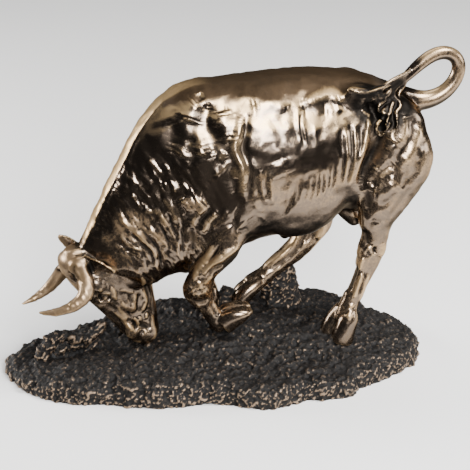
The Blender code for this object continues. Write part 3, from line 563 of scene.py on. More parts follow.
        (2.2, -0.48, 108.7, 124, 103.9, 117.6, 97.8, 114.5, 92.5, 117.5),
        (6.88, 0.72, 93, 124.1, 100.5, 124.4, 108.5, 130.6),
        (1.78, -0.6, 93, 104.7, 96.1, 102.8, 100.4, 103.3),
        (5.5, 0.48, 89.9, 174.7, 83.7, 177.5, 79.8, 173),
    ],
    forelegForms=[
        (1.6, 1.5, -5.5, 98.5, -7.9, 91.9, -10.8, 86.3, -13.8, 80.8, -16.9, 75, -19.4, 68.9),
        (1.7, -1.6, -1.5, 99, -4.6, 92.5, -8.1, 87, -12.2, 80.7, -15.3, 74.7),
        (3, 1.6, 9.1, 98.2, 5.9, 92.6, 0.2, 88.6, -6.5, 84, -11.8, 79, -14.7, 74.8),
        (2, -1.4, -0.3, 84.4, -6.4, 80.6, -11.2, 75.6),
        (1.8, 0.4, -17.6, 71.1, -15.9, 67.7, -14.1, 70.7), (2, -0.4, -15.9, 74, -14.1, 71.4),
        (1.6, 0.9, -6.8, 75.2, -9.7, 71.7, -12.7, 68.2),
        (4.4, 1.3, -20.5, 65.2, -14.3, 62.2, -8.5, 64.7),
        (2.2, -1.4, -21.1, 56.7, -15.1, 54.8, -8.6, 55.3), (1, -0.5, -18.8, 65.5, -14.5, 64.6, -10, 66),
        (1.6, 0.6, -4.9, 52.4, -2.7, 47.5, -0.1, 43.7, 1.7, 40.9),
        (1.3, -1.1, -7.1, 52.6, -4.3, 46.9, -1.7, 41.7),
    ],
    hockForms=[
        (2.2, -1.6, 89.5, 97.2, 91.9, 89.4, 93.3, 83.3), (1.6, 0.8, 88.8, 86.4, 88, 77.3, 86.7, 67.9),
        (1, -1.3, 90, 84.7, 88.2, 75.8, 86.3, 65.8, 83.7, 57.3, 80.9, 50.5),
        (1.2, 1.1, 90.7, 78.1, 89.2, 72.3, 88.1, 67.4),
        (1.8, 1.3, 90.3, 68.5, 88.7, 61.6, 86.3, 54.2, 84.4, 48.3),
        (0.8, -0.9, 91.5, 68.6, 90, 59.5, 87.6, 51.3),
        (1.4, 1.1, 94.1, 68.4, 92.7, 59.8, 90.5, 52.1, 88, 45.4),
        (3, 1.2, 101.4, 87.6, 102.9, 81.2, 100.3, 76.8), (1.4, -1.8, 96.3, 84.7, 97.3, 79.6),
        (1.6, -0.9, 91.7, 81, 94.2, 78.4), (1.4, 0.8, 92.6, 86.7, 93.3, 82.6),
        (2, 1.2, 79.8, 40.6, 82.4, 37.8), (2.2, 1, 82.4, 45.7, 84.4, 42.9),
    ],
    farHockForms=[
        (1.6, 0.9, 47.7, 97, 45, 84, 42, 72),
        (1.6, 1.1, 60, 88, 59, 75.6, 52.3, 67.2, 43.1, 59.5, 34.5, 53.1),
        (1.7, -1, 66, 90, 61.9, 74.1, 55.2, 65.7, 45.9, 58.1, 37.9, 51.8),
        (3, 1.2, 77, 88, 74.5, 78, 70.5, 73.6), (2.2, -0.9, 72, 86, 67.7, 77.3, 63.1, 70.8),
    ],
    # on the head as it is drawn, before it turns
    faceForms=[
        (1.1, -0.93, -92.8, 82, -94.8, 79, -93.6, 73.7, -91.9, 69.1),
        (2.86, -1.36, -85.9, 81.6, -84, 77.7, -82, 71.9),
        (1.54, 1.05, -72.7, 63.1, -70.7, 62, -69.4, 59.7, -68.7, 56.1, -67.3, 53),
        (1.76, -0.87, -78.5, 52.3, -75.4, 51.7, -72.6, 53.4),
        (1.54, -0.99, -80.8, 60.8, -78.2, 57.6, -77.5, 54),
        (1.32, -0.74, -72.3, 59.7, -71.5, 56.1, -71.7, 52.3), (1.21, 0.56, -79.8, 64.7, -77.6, 61.4),
        (1.1, 0.37, -80.8, 58.3, -79.2, 56.2), (2.2, 0.62, -80.2, 51.9, -77.4, 49.7, -75.2, 48.3),
        (1.76, -0.74, -73.7, 50.8, -69.8, 48.1, -66.1, 45.5),
        (1.54, 0.56, -66.7, 59.9, -62.6, 59.8, -58.4, 57.4, -54.8, 56.6),
        (2.64, 0.74, -55.5, 56.8, -54.9, 52.5, -56.1, 48.3, -56.6, 43.5),
        (1.54, -0.62, -59.9, 56.4, -58, 52.1, -59.1, 47.7),
        (1.76, -0.56, -65.4, 57.5, -62.9, 54.4, -61.1, 50.8),
        (1.32, -0.68, -53.3, 55.6, -52.7, 51.3, -52.9, 46.6, -51.6, 42.3),
        (3.74, 0.81, -65.1, 79, -62.4, 77.6, -59.4, 75.2),
        (2.42, -0.68, -67.4, 74.1, -62.4, 72.5, -57.6, 69.8),
        (1.43, 0.99, -57.9, 79.2, -56, 75.6, -53.6, 70.2, -51, 64.2, -47.8, 56.1),
        (1.65, 1.12, -49.4, 58.6, -48, 53.5, -46.6, 49.1, -48.4, 45.5, -50.3, 40.6),
        (1.1, -0.62, -54.9, 76.9, -52, 71.5, -49.4, 64.9),
        (1.76, -1.12, -50.9, 72.2, -47.4, 61.6, -44, 50.9, -45.5, 43.4),
        (1.98, 0.81, -67.1, 50.8, -64.3, 46, -61.6, 41.3, -60.3, 37.6),
        (1.1, -0.62, -62.3, 48.2, -59.9, 44, -57.8, 40),
        (1.32, 0.56, -64.9, 52.1, -62.3, 48.9, -59.2, 43.1),
        (1.43, 0.87, -69.6, 45.8, -65.8, 42.5, -62.7, 39.3, -61.1, 36.4, -59.9, 34, -58.4, 31.3),
        (1.76, -0.62, -71.7, 45.1, -67.9, 41.1, -64.2, 36.4),
        (1.1, -1.36, -57.8, 38, -55.9, 35.6, -54.9, 32.9, -56.1, 30.6),
        (1.1, 0.68, -56.5, 39.8, -53.9, 36.7, -53.5, 33.2),
        (1.1, 0.62, -59.8, 36.9, -58.5, 33.7, -57.8, 29.9), (1.43, 0.62, -52.4, 39.7, -51.3, 36.2),
        (1.21, 0.81, -46.5, 41.1, -47.7, 36.8),
        (2.2, -1.24, -52.8, 34.5, -50.3, 32.7, -47.6, 31.6, -46.5, 28.7),
        (1.76, -0.74, -52.4, 29.7, -49.3, 27.9),
        (1.76, 0.93, -44.2, 40.5, -43.2, 36.3, -43.1, 31.8, -42.1, 27.6, -43.1, 23.8, -47.4, 22.7),
        (1.54, 0.62, -61.3, 29.2, -59.1, 25.9, -53.7, 22.3, -50.6, 23.2),
        (1.32, 0.74, -80.5, 83.6, -76.8, 82.1, -74.1, 81.3, -71.7, 79.4, -68.7, 75.6, -66.6, 72.5),
        (1.76, -0.99, -79.1, 75.9, -78.1, 78.4, -76.2, 79.6, -73.8, 78),
        (1.76, -0.37, -75.5, 70.8, -70.6, 68, -64, 64.1), (1.54, 0.31, -74.2, 73.3, -69.1, 70.4),
    ],
)


def headPlace():
    pivot = Vector(bullHead["pivot"])
    return (Matrix.Translation(pivot) @ Matrix.Rotation(math.radians(bullHead["yaw"]), 4, "Z")
            @ Matrix.Rotation(math.radians(bullHead["roll"]), 4, "X") @ Matrix.Translation(-pivot))


def headDrawing(co):
    # the points where they lie in the head as it is drawn, before it turns
    return np.c_[co, np.ones(len(co))] @ np.array(headPlace().inverted()).T


def addEar(bm, root, tip, face):
    # a leaf with a hollow towards face
    root, tip, face = Vector(root), Vector(tip), Vector(face)
    along = (tip - root).normalized()
    face = (face - along * face.dot(along)).normalized()
    across = along.cross(face)
    length = (tip - root).length

    def place(row, turn):
        t, wide = bullHead["earSpans"][row]
        c, s = np.cos(turn), np.sin(turn)
        lift = 1.3 * s + 1.6 * c * c * min(1.0, wide / 4.0)
        return np.array(root + along * length * t) + np.outer(c * wide, across) + np.outer(lift, face)

    rings(bm, 20, len(bullHead["earSpans"]), place)


def addHead(bm):
    head = bmesh.new()
    trunk(head, bullHead["skull"])
    for (x, y, z), radii, lean in bullHead["muscles"]:
        for side in (-1, 1):
            muscle(head, (x, side * y, z), radii, lean)
    for centre, radii, lean in bullHead["midMuscles"]:
        muscle(head, centre, radii, lean)
    (x, y, z), radii = bullHead["eye"]
    for side in (-1, 1):
        muscle(head, (x, side * y, z), radii)
        for line in bullHead["lids"]:
            rope(head, [(px, side * py, pz, r) for px, py, pz, r in line], sides=10)
    bmesh.ops.transform(head, matrix=headPlace(), verts=head.verts)
    addForm(bm, head)
    for ear in bullHead["ears"]:
        addEar(bm, *ear)
    rope(bm, bullHead["nearHorn"])
    rope(bm, bullHead["farHorn"])


def roughen(obj, name, layers):
    for kind, size, strength in layers:
        texture = bpy.data.textures.new(name, kind)
        texture.noise_scale = size
        layer = obj.modifiers.new(name, "DISPLACE")
        layer.texture, layer.texture_coords = texture, "LOCAL"
        layer.strength, layer.mid_level = strength, 0.5
    return baked(obj)


def makeBullForm():
    bm = bmesh.new()
    trunk(bm, bull["trunk"], sides=64, square=bull["backSquare"])
    for leg in ("nearForeleg", "farForeleg", "nearHindLeg", "farHindLeg"):
        trunk(bm, bull[leg])
    for (x, y, z), radii, lean in bull["muscles"]:
        for side in (-1, 1):
            muscle(bm, (x, side * y, z), radii, lean)
    for centre, radii, lean in bull["nearMuscles"] + bull["farMuscles"] + bull["scrotum"]:
        muscle(bm, centre, radii, lean)
    rope(bm, bull["sheath"])
    body = melted("bodyForm", bm, bull["bodyGrain"], bull["bodyEasing"])
    co, no = getPoints(body.data)
    setPoints(body.data, co + no * bull["bodySwell"])
    roughen(body, "hide", bull["hide"])
    bm = bmesh.new()
    bm.from_mesh(body.data)
    bpy.data.objects.remove(body)
    for claw in bull["claws"]:
        rope(bm, claw)
    for claw in bull["foldedClaws"]:
        trunk(bm, claw)
    rope(bm, bullTail["path"])
    for radius, *path in bullTail["tuft"]:
        lock = [(*point, radius) for point in np.reshape(path, (-1, 3))]
        lock[-1] = (*lock[-1][:3], round(bullTail["tipShare"] * radius, 2))
        rope(bm, lock, sides=10, steps=3)
    addHead(bm)
    return melted("bullCasting", bm, bull["grain"] * (1), bull["easing"])


ground = dict(
    grain=0.8,
    easing=2,
    # crumbs and pits of the earth: texture, size and strength in mm
    soil=[("CLOUDS", 11.0, 4.4), ("VORONOI", 8.0, 2.2), ("VORONOI", 4.0, 2.2), ("CLOUDS", 2.0, 2.2)],
    mostFaces=180000,
    sides=216,
    outline=[
        (-134, 12), (-131, -2), (-124, -18), (-111, -33), (-95, -41), (-78, -45), (-62, -52),
        (-44, -58), (-26, -57), (-8, -60), (8, -68), (24, -73), (41, -66), (58, -67), (74, -66),
        (84, -56), (98, -50), (113, -40), (126, -29), (134, -14), (134, 4), (129, 20), (118, 34),
        (104, 46), (86, 53), (66, 58), (46, 57), (26, 60), (6, 55), (-14, 54), (-34, 56), (-54, 50),
        (-72, 51), (-90, 45), (-106, 42), (-120, 34), (-130, 24),
    ],
    # x, y, height, spread along x and y
    rises=[
        (4, -8, 3, 26, 20), (80, -22, 2.5, 22, 18), (30, 24, 6, 26, 18), (-2, 22, 4, 20, 16),
        (-50, 0, -5.5, 18, 20), (-92, -20, 2, 20, 16), (50, -46, -2, 40, 14),
    ],
    # share of the outline and height of each ring, then share of the full height
    edge=[(0.965, -6.0), (1.0, 1.5), (1.0, 5.0)],
    slope=[(0.988, 0.6), (0.965, 0.82), (0.925, 0.93), (0.86, 0.98), (0.76, 1.0), (0.64, 1.0),
           (0.51, 1.0), (0.38, 1.0), (0.24, 1.0), (0.1, 1.0)],
    ridge=[(38, 50, 57.5, 60, 22, 2.6), (37, 44, 58.5, 51, 22, 4.4), (36, 37, 59.5, 41, 22, 6.5),
           (34, 28, 62, 30, 22, 9), (32, 14, 64, 14, 22, 11)],
    lump=((13, 22, 33), (8, 7, 10)),
    roots=[
        [(-113, 0, 12, 4), (-109, 1, 20, 5), (-104, 2, 26, 5), (-97, 2, 27.5, 4.2),
         (-90, 3, 25, 3.4), (-82, 4, 23, 3.2), (-75, 5, 27, 3.0), (-70, 7, 33, 2.0)],
        [(-104, 4, 14, 4), (-92, 6, 18, 4), (-80, 7, 18, 3.4), (-66, 8, 14, 3)],
    ],
)


def groundHeight(x, y):
    z = 12.0 + 14.0 * (ramp(-112, -18, x) * (1 - 0.8 * ramp(66, 130, x))
                       * (0.12 + 0.88 * ramp(-68, 2, y)))
    for cx, cy, h, sx, sy in ground["rises"]:
        z = z + h * np.exp(-(((x - cx) / sx) ** 2) - ((y - cy) / sy) ** 2)
    z = z + 1.0 * np.sin(x * 0.21 + 0.6 * np.sin(y * 0.17)) * np.cos(y * 0.19 + 0.7)
    return z + 0.7 * np.sin(x * 0.47 + 1.3) * np.sin(y * 0.41 + 0.4)


def makeGroundForm():
    bm = bmesh.new()
    closed = ground["outline"] + ground["outline"][:1]
    rim = curveThrough(closed, ground["sides"] + 1)[:-1]
    middle = curveThrough(closed, ground["sides"] // 2 + 1)[:-1].mean(0)
    reach = rim - middle
    low, high = ground["edge"], ground["slope"]

    def place(row, turn):
        share, level = (low + high)[row]
        i = np.rint(np.mod(turn, 2 * math.pi) / (2 * math.pi) * len(rim)).astype(int) % len(rim)
        flat = middle + reach[i] * share
        z = np.full(len(i), level) if row < len(low) else groundHeight(flat[:, 0], flat[:, 1]) * level
        return np.column_stack([flat, z])

    rings(bm, len(rim), len(low) + len(high), place)
    trunk(bm, ground["ridge"])
    muscle(bm, *ground["lump"])
    for root in ground["roots"]:
        rope(bm, root)
    grain = ground["grain"] * 1
    obj = melted("groundCasting", bm, grain, ground["easing"])
    return roughen(obj, "soil", ground["soil"])


def cutFlat(obj):
    # the underside is ground flat, level with the table
    bm = bmesh.new()
    bm.from_mesh(obj.data)
    bmesh.ops.bisect_plane(bm, geom=bm.verts[:] + bm.edges[:] + bm.faces[:], plane_co=(0, 0, 0),
                           plane_no=(0, 0, -1), clear_outer=True)
    rim = [e for e in bm.edges if e.is_boundary]
    bmesh.ops.edgeloop_fill(bm, edges=rim)
    bm.to_mesh(obj.data)
    bm.free()


# cold-cast bronze, polished: a mirror of the studio on the high forms, smoked
# almost black on the neck, painted shade under the belly, dry black wash in the folds
bronzeLook = dict(
    # the rubbed colour also stands as painted reflection of the pale floor on the low flank and neck; gold
    # is also painted highlight, black also painted shade
    rubbedAndReflected="AD9376", warm="8D7456", gold="CBAA7A", dark="6A5D51", brown="382B1D", black="0D0B0A",
    darkRough=0.18, rubbedRough=0.34, wornAndHighlightRough=0.36, brownRough=0.6, blackRough=0.42,
    rubbedMetal=0.86, wornAndHighlightMetal=0.78, brownMetal=0.75, blackMetal=0.75,
    glance="D6C8B6",     # bronze stays warm where it is seen at a flat angle
    mottle=0.009,        # size of the patina's clouds, metres
    grit=0.0004,         # grain of the cast powder
    dents=0.004,         # soft unevenness left by the modelling tool
    toneEdge=(0.38, 0.7), washClouds=0.3, washSpecks=0.4, washEdge=(0.5, 1.2),
    rubTear=0.9, rubEdge=(0.98, 1.8),
    dentBump=(0.14, 0.0004), gritBump=(0.2, 0.0001),
    # painted reflections of the pale floor on the neck: x, z, half width, half height in mm, strength
    neckFloorReflections=[(-54, 106, 13, 12, 0.75), (-18, 121, 9, 6, 0.75),
             (-66, 97, 8, 6, 0.5), (-36, 96, 9, 9, 0.5)],
)
# rough resin earth: near-black patina, bronze rubbed onto the crumbs
earthLook = dict(
    bright="8C7762", brown="15110E", black="040303",
    brightRough=0.36, blackRough=0.65, brightMetal=0.8, blackMetal=0.5,
    crumb=0.0018, grit=0.0005,
    crumbShare=0.8, shineEdge=(0.6, 1.35),
    crumbBump=(0.7, 0.0009), gritBump=(0.4, 0.0002),
)


def mixColour(tree, factor, under, over):
    # under and over are hex colours or sockets
    values = {k: toLinear(v) for k, v in (("A", under), ("B", over)) if isinstance(v, str)}
    links = {k: v for k, v in (("A", under), ("B", over)) if not isinstance(v, str)}
    return addNode(tree, "ShaderNodeMix", dict(data_type="RGBA"), values,
                   {"Factor": factor, **links}).outputs["Result"]


def emptyMaterial(name):
    mat = bpy.data.materials.new(name)
    mat.use_nodes = True
    mat.node_tree.nodes.clear()
    return mat, mat.node_tree


def painted(tree, name):
    return addNode(tree, "ShaderNodeAttribute", dict(attribute_name=name)).outputs["Fac"]


def between(tree, factor, low, high):
    return addNode(tree, "ShaderNodeMapRange", values={"To Min": low, "To Max": high},
                   links={"Value": factor}).outputs["Result"]


def stepped(tree, source, low, high):
    return addNode(tree, "ShaderNodeMapRange", dict(interpolation_type="SMOOTHSTEP"),
                   {"From Min": low, "From Max": high}, {"Value": source}).outputs["Result"]


def added(tree, base, share, source):
    return addNode(tree, "ShaderNodeMath", dict(operation="MULTIPLY_ADD"), {1: share},
                   {0: source, 2: base}).outputs[0]


def bumped(tree, height, strength, distance, under=None):
    links = {"Height": height} if under is None else {"Height": height, "Normal": under}
    return addNode(tree, "ShaderNodeBump", values={"Strength": strength, "Distance": distance},
                   links=links).outputs["Normal"]


def coated(tree, colour, rough, metallic, normal, fixed=None):
    shader = addNode(tree, "ShaderNodeBsdfPrincipled", values=fixed, links={
        "Base Color": colour, "Roughness": rough, "Metallic": metallic, "Normal": normal})
    addNode(tree, "ShaderNodeOutputMaterial", links={"Surface": shader.outputs["BSDF"]})


def makeBronze():
    mat, tree = emptyMaterial("coldCastBronze")
    look = bronzeLook
    place = addNode(tree, "ShaderNodeTexCoord").outputs["Object"]
    hollow, wornAndHighlight, rubAndReflection, matt = (painted(tree, name) for name in ("hollow", "wornAndHighlight", "rubAndReflection", "matt"))
    clouds, specks, grit, dents = (
        addNode(tree, "ShaderNodeTexNoise", values={"Scale": 1 / size, "Detail": detail, "Roughness": 0.6},
                links={"Vector": place}).outputs["Fac"]
        for size, detail in ((look["mottle"], 5.0), (look["grit"] * 4, 3.0), (look["grit"], 2.0),
                             (look["dents"], 2.0)))
    # how much black is left: wash in the hollows and painted shade under the body, broken up by the clouds
    # and specks
    broken = added(tree, hollow, look["washClouds"], clouds)
    washAndShade = stepped(tree, added(tree, broken, look["washSpecks"], specks), *look["washEdge"])
    tone = addNode(tree, "ShaderNodeMapRange", links={"Value": clouds},
                   values=dict(zip(("From Min", "From Max"), look["toneEdge"]))).outputs["Result"]
    # rubbed bronze, in places a painted reflection of the pale floor, over the dark metal, with a torn
    # edge
    torn = added(tree, added(tree, rubAndReflection, look["rubTear"], clouds), look["rubTear"], specks)
    rubbedAndReflected = stepped(tree, torn, *look["rubEdge"])
    colour = mixColour(tree, rubbedAndReflected, look["dark"], mixColour(tree, tone, look["rubbedAndReflected"], look["warm"]))
    colour = mixColour(tree, matt, colour, look["brown"])
    # gold is wear and painted highlight, black is wash and painted shade
    colour = mixColour(tree, wornAndHighlight, colour, look["gold"])
    colour = mixColour(tree, washAndShade, colour, look["black"])
    rough = between(tree, rubbedAndReflected, look["darkRough"], look["rubbedRough"])
    metallic = between(tree, rubbedAndReflected, 1.0, look["rubbedMetal"])
    for factor, coat in ((matt, "brown"), (wornAndHighlight, "wornAndHighlight"), (washAndShade, "black")):
        rough = addNode(tree, "ShaderNodeMix", values={"B": look[coat + "Rough"]},
                        links={"Factor": factor, "A": rough}).outputs["Result"]
        metallic = addNode(tree, "ShaderNodeMix", values={"B": look[coat + "Metal"]},
                           links={"Factor": factor, "A": metallic}).outputs["Result"]
    fine = bumped(tree, grit, *look["gritBump"], bumped(tree, dents, *look["dentBump"]))
    coated(tree, colour, rough, metallic, fine, {"Specular Tint": toLinear(look["glance"])})
    return mat


def makeEarth():
    mat, tree = emptyMaterial("patinatedResinEarth")
    look = earthLook
    place = addNode(tree, "ShaderNodeTexCoord").outputs["Object"]
    hollow, wornAndHighlight = painted(tree, "hollow"), painted(tree, "wornAndHighlight")
    crumbs = addNode(tree, "ShaderNodeTexNoise", links={"Vector": place},
                     values={"Scale": 1 / look["crumb"], "Detail": 6.0, "Roughness": 0.7}).outputs["Fac"]
    grit = addNode(tree, "ShaderNodeTexNoise", values={"Scale": 1 / look["grit"], "Detail": 2.0},
                   links={"Vector": place}).outputs["Fac"]
    shine = stepped(tree, added(tree, wornAndHighlight, look["crumbShare"], crumbs), *look["shineEdge"])
    colour = mixColour(tree, shine, mixColour(tree, hollow, look["brown"], look["black"]), look["bright"])
    rough = between(tree, shine, look["blackRough"], look["brightRough"])
    metallic = between(tree, shine, look["blackMetal"], look["brightMetal"])
    fine = bumped(tree, grit, *look["gritBump"], bumped(tree, crumbs, *look["crumbBump"]))
    coated(tree, colour, rough, metallic, fine)
    return mat


def reliefOf(mesh, near, far):
    # positive on ridges, negative in hollows, in millimetres, at a chosen size
    co, no = getPoints(mesh)
    pairs = edgePairs(mesh)
    small = spread(co, pairs, near) if near else co
    large = spread(co, pairs, far)
    no = spread(no, pairs, 4)
    no /= np.maximum(np.linalg.norm(no, axis=1), 1e-6)[:, None]
    return ((small - large) * no).sum(1)


def sculptBull(obj):
    co, no = getPoints(obj.data)
    pairs = edgePairs(obj.data)
    no = spread(no, pairs, 6)
    no /= np.maximum(np.linalg.norm(no, axis=1), 1e-6)[:, None]
    onHead = headDrawing(co)
    # the face is what lies around the line from the poll to the muzzle
    axis = np.array(bullHead["axis"])
    reach = onHead[:, [0, 2]] - bullHead["poll"]
    apart = np.abs(reach[:, 0] * axis[1] - reach[:, 1] * axis[0])
    head = (ramp(25, 20, apart) * ramp(-8, -2, reach @ axis) * ramp(92, 84, reach @ axis)
            * ramp(24, 19, np.abs(onHead[:, 1])))
    side = ramp(0.12, 0.5, np.abs(no[:, 1]))
    near, far = ramp(-3, -9, co[:, 1]), ramp(3, 9, co[:, 1])
    # the far thigh swings forward, so its folds lean with it
    view = co[:, [0, 2]]
    swung = bull["farThighSwing"] * far * ramp(160, 100, co[:, 2])
    lean = view + np.column_stack([swung, np.zeros(len(co))])
    flanks = side * (near + far)
    charts = dict(
        neckFolds=(view, side * (1 - head)), shoulderForms=(view, flanks), ribForms=(view, flanks),
        flankFolds=(lean, flanks), thighForms=(lean, flanks), forelegForms=(view, near),
        hockForms=(view, near), farHockForms=(view, far),
        faceForms=(onHead[:, [0, 2]], head * ramp(2, 5, np.abs(onHead[:, 1]))),
    )
    lift, wearAndHighlight, washAndShade = np.zeros(len(co)), np.zeros(len(co)), np.zeros(len(co))
    for name, rows in bullStrokes.items():
        chart, weight = charts[name]
        for width, height, *path in rows:
            pull = stroke(chart, weight, np.reshape(path, (-1, 2)), width)
            lift += pull * height
            # fine strokes also paint: gold where raised, as wear and painted highlight; black where sunk,
            # as wash and painted shade
            mark = pull * min(1.0, abs(height) * bull["markPerHeight"]) * (width < bull["widestMark"])
            if height > 0:
                wearAndHighlight = np.maximum(wearAndHighlight, mark)
            else:
                washAndShade = np.maximum(washAndShade, mark)
    # creased skin of the neck, drawn out along the folds
    forth, down = bull["creaseRun"]
    loose = side * (1 - head) * ramp(4, -20, co[:, 0]) * ramp(160, 136, co[:, 2])
    for i in np.flatnonzero(loose > 0.01):
        px, py, pz = co[i]
        along, over = forth * px - down * pz, down * px + forth * pz
        crease = noise.noise(Vector((along * 0.07, py * 0.03, over * 0.34)))
        crease += 0.5 * noise.noise(Vector((along * 0.3, py * 0.1 + 9, over * 0.75)))
        lift[i] += loose[i] * bull["creaseDepth"] * crease
    # raised band along the crest of the neck
    crest = curveThrough([section[:2] for section in bull["trunk"][8:]], 40)
    close = np.flatnonzero((np.abs(co[:, 1]) < 10) & (co[:, 0] < 8) & (co[:, 2] > 86))
    gap = np.linalg.norm(co[close][:, None, [0, 2]] - crest[None], axis=2).min(1)
    y = np.abs(co[close, 1])
    lift[close] += ramp(9, 4, gap) * bull["crestHeight"] * ramp(9, 7, y) * ramp(4, -20, co[close, 0])
    setPoints(obj.data, co + no * lift[:, None])
    return wearAndHighlight, washAndShade


def finishPiece(obj, faces):
    tris = sum(len(p.vertices) - 2 for p in obj.data.polygons)
    if tris > faces:
        thin = obj.modifiers.new("thin", "DECIMATE")
        thin.ratio = faces / tris
        baked(obj)
    mesh = obj.data
    for name in ("sculpt_face_set", ".sculpt_face_set"):
        if name in mesh.attributes:
            mesh.attributes.remove(mesh.attributes[name])
    co, _ = getPoints(mesh)
    setPoints(mesh, (co - layout["zero"]) * layout["scale"])
    mesh.polygons.foreach_set("use_smooth", [True] * len(mesh.polygons))
    mesh.update()


def putFeetDown(obj, groundMesh):
    # soles stop a little inside the earth instead of running through it
    bm = bmesh.new()
    bm.from_mesh(groundMesh)
    tree = BVHTree.FromBMesh(bm)
    bm.free()
    co, _ = getPoints(obj.data)
    for i in np.flatnonzero(co[:, 2] < bull["footHeight"]):
        hit = tree.ray_cast(Vector((co[i, 0], co[i, 1], 90.0)), Vector((0, 0, -1)))[0]
        if hit and co[i, 2] < hit.z - bull["soleDepth"]:
            co[i, 2] = hit.z - bull["soleDepth"]
    setPoints(obj.data, co)


# a limit is a field of the bull's surface, where a finish begins and where it is full
crestBand = (("beside", 8, 6.5), ("up", 0, 0.3), ("x", -86, -80), ("x", 0, -36), ("z", 86, 96))
bullUnder = (("up", -0.05, -0.5), ("z", 70, 84))
bullHooves = (("hoofLevel", 46, 40), ("x", -14, -10))
bullTailLoop = (("x", 126, 134), ("z", 164, 168))
# share of the finish, then its limits
bullAreas = dict(
    # rubbed bronze, and on the low flank and low neck painted reflection of the pale floor
    rubAndReflection=[
        (0.38, ("x", 8, 22), ("x", 96, 80), ("z", 148, 136), ("z", 108, 122)),  # low flank: painted reflection of the pale floor
        (0.3, ("x", 84, 96), ("z", 176, 160)),  # thigh
        (0.36, ("z", 112, 96), ("x", -30, -18)),  # legs
        (0.55, ("x", 124, 132)),  # tail
        (0.1, ("x", -50, -60), ("z", 96, 84)),  # head
        (0.8, ("headX", -84, -90), ("headZ", 70, 76)),  # poll
        (0.4, ("x", -80, -66), ("x", 8, -4), ("z", 122, 108), ("relief", -0.1, 0.15)),  # low neck: painted reflection of the pale floor
    ],
    horns=[(1, ("x", -84, -90), ("z", 70, 66)), (1, ("y", -19, -21), ("x", -78, -84), ("z", 80, 76))],
    # gold: wear on ridges and the crest, wear and painted highlight on strokes, painted highlight on top
    # of the tail
    wornAndHighlight=[(0.4, ("relief", 0.1, 0.45)), (0.3, ("wearAndHighlightMarks", 0.25, 0.8)), (0.75, *crestBand),
          (0.45, *bullTailLoop, ("up", 0.3, 0.8))],
    backEdge=[(0.8, ("z", 150, 168), ("x", -60, -20), ("x", 112, 96))],
    # satin brown on the back and the crest, a little on the head, which is duller than the body
    matt=[(1, ("up", 0.44, 0.6), ("z", 150, 170), ("x", -50, -20), ("x", 112, 96)), (0.7, *crestBand),
          (0.2, ("x", -50, -60), ("z", 92, 84))],
    # black as painted shade under the body, on the belly's edge, the hooves and below the tail
    hollow=[(0.75, *bullUnder, ("x", -20, -6)), (0.3, *bullHooves),
            (0.5, ("z", 118, 106), ("x", 4, 16), ("x", 92, 80), ("z", 84, 92)),
            (0.6, *bullTailLoop, ("up", 0, -0.6))],
    under=[(1, *bullUnder)],
    hooves=[(1, *bullHooves)],
    top=[(1, ("up", 0.44, 0.6))],
)
bullFinish = dict(
    reliefRounds=10, broadRounds=(4, 60),
    edgeSlope=0.43, edgeWidth=0.07,      # where the flat of the back turns over
    hindHoofDrop=8,                      # the hind hooves stand lower
    tuftOval=(102, 177, 25, 18),         # x, z, half width, half height
    # strokes give black as wash and painted shade, and rub as painted highlight; hooves and underside get
    # painted shade
    fineWash=0.75, broadWash=0.4, markWashAndShade=0.75, backWash=0.34,
    hoofShade=0.55, underShade=0.8,
    ridgeRub=0.3, markRubAndHighlight=0.2, tuftGold=0.8,
)


def strongest(fields, rows):
    out = np.zeros(len(fields["x"]))
    for share, *limits in rows:
        area = share
        for field, begin, full in limits:
            area = area * ramp(begin, full, fields[field])
        out = np.maximum(out, area)
    return out


def oval(x, z, centreX, centreZ, wide, tall, full):
    return ramp(1.25, full, np.hypot((x - centreX) / wide, (z - centreZ) / tall))


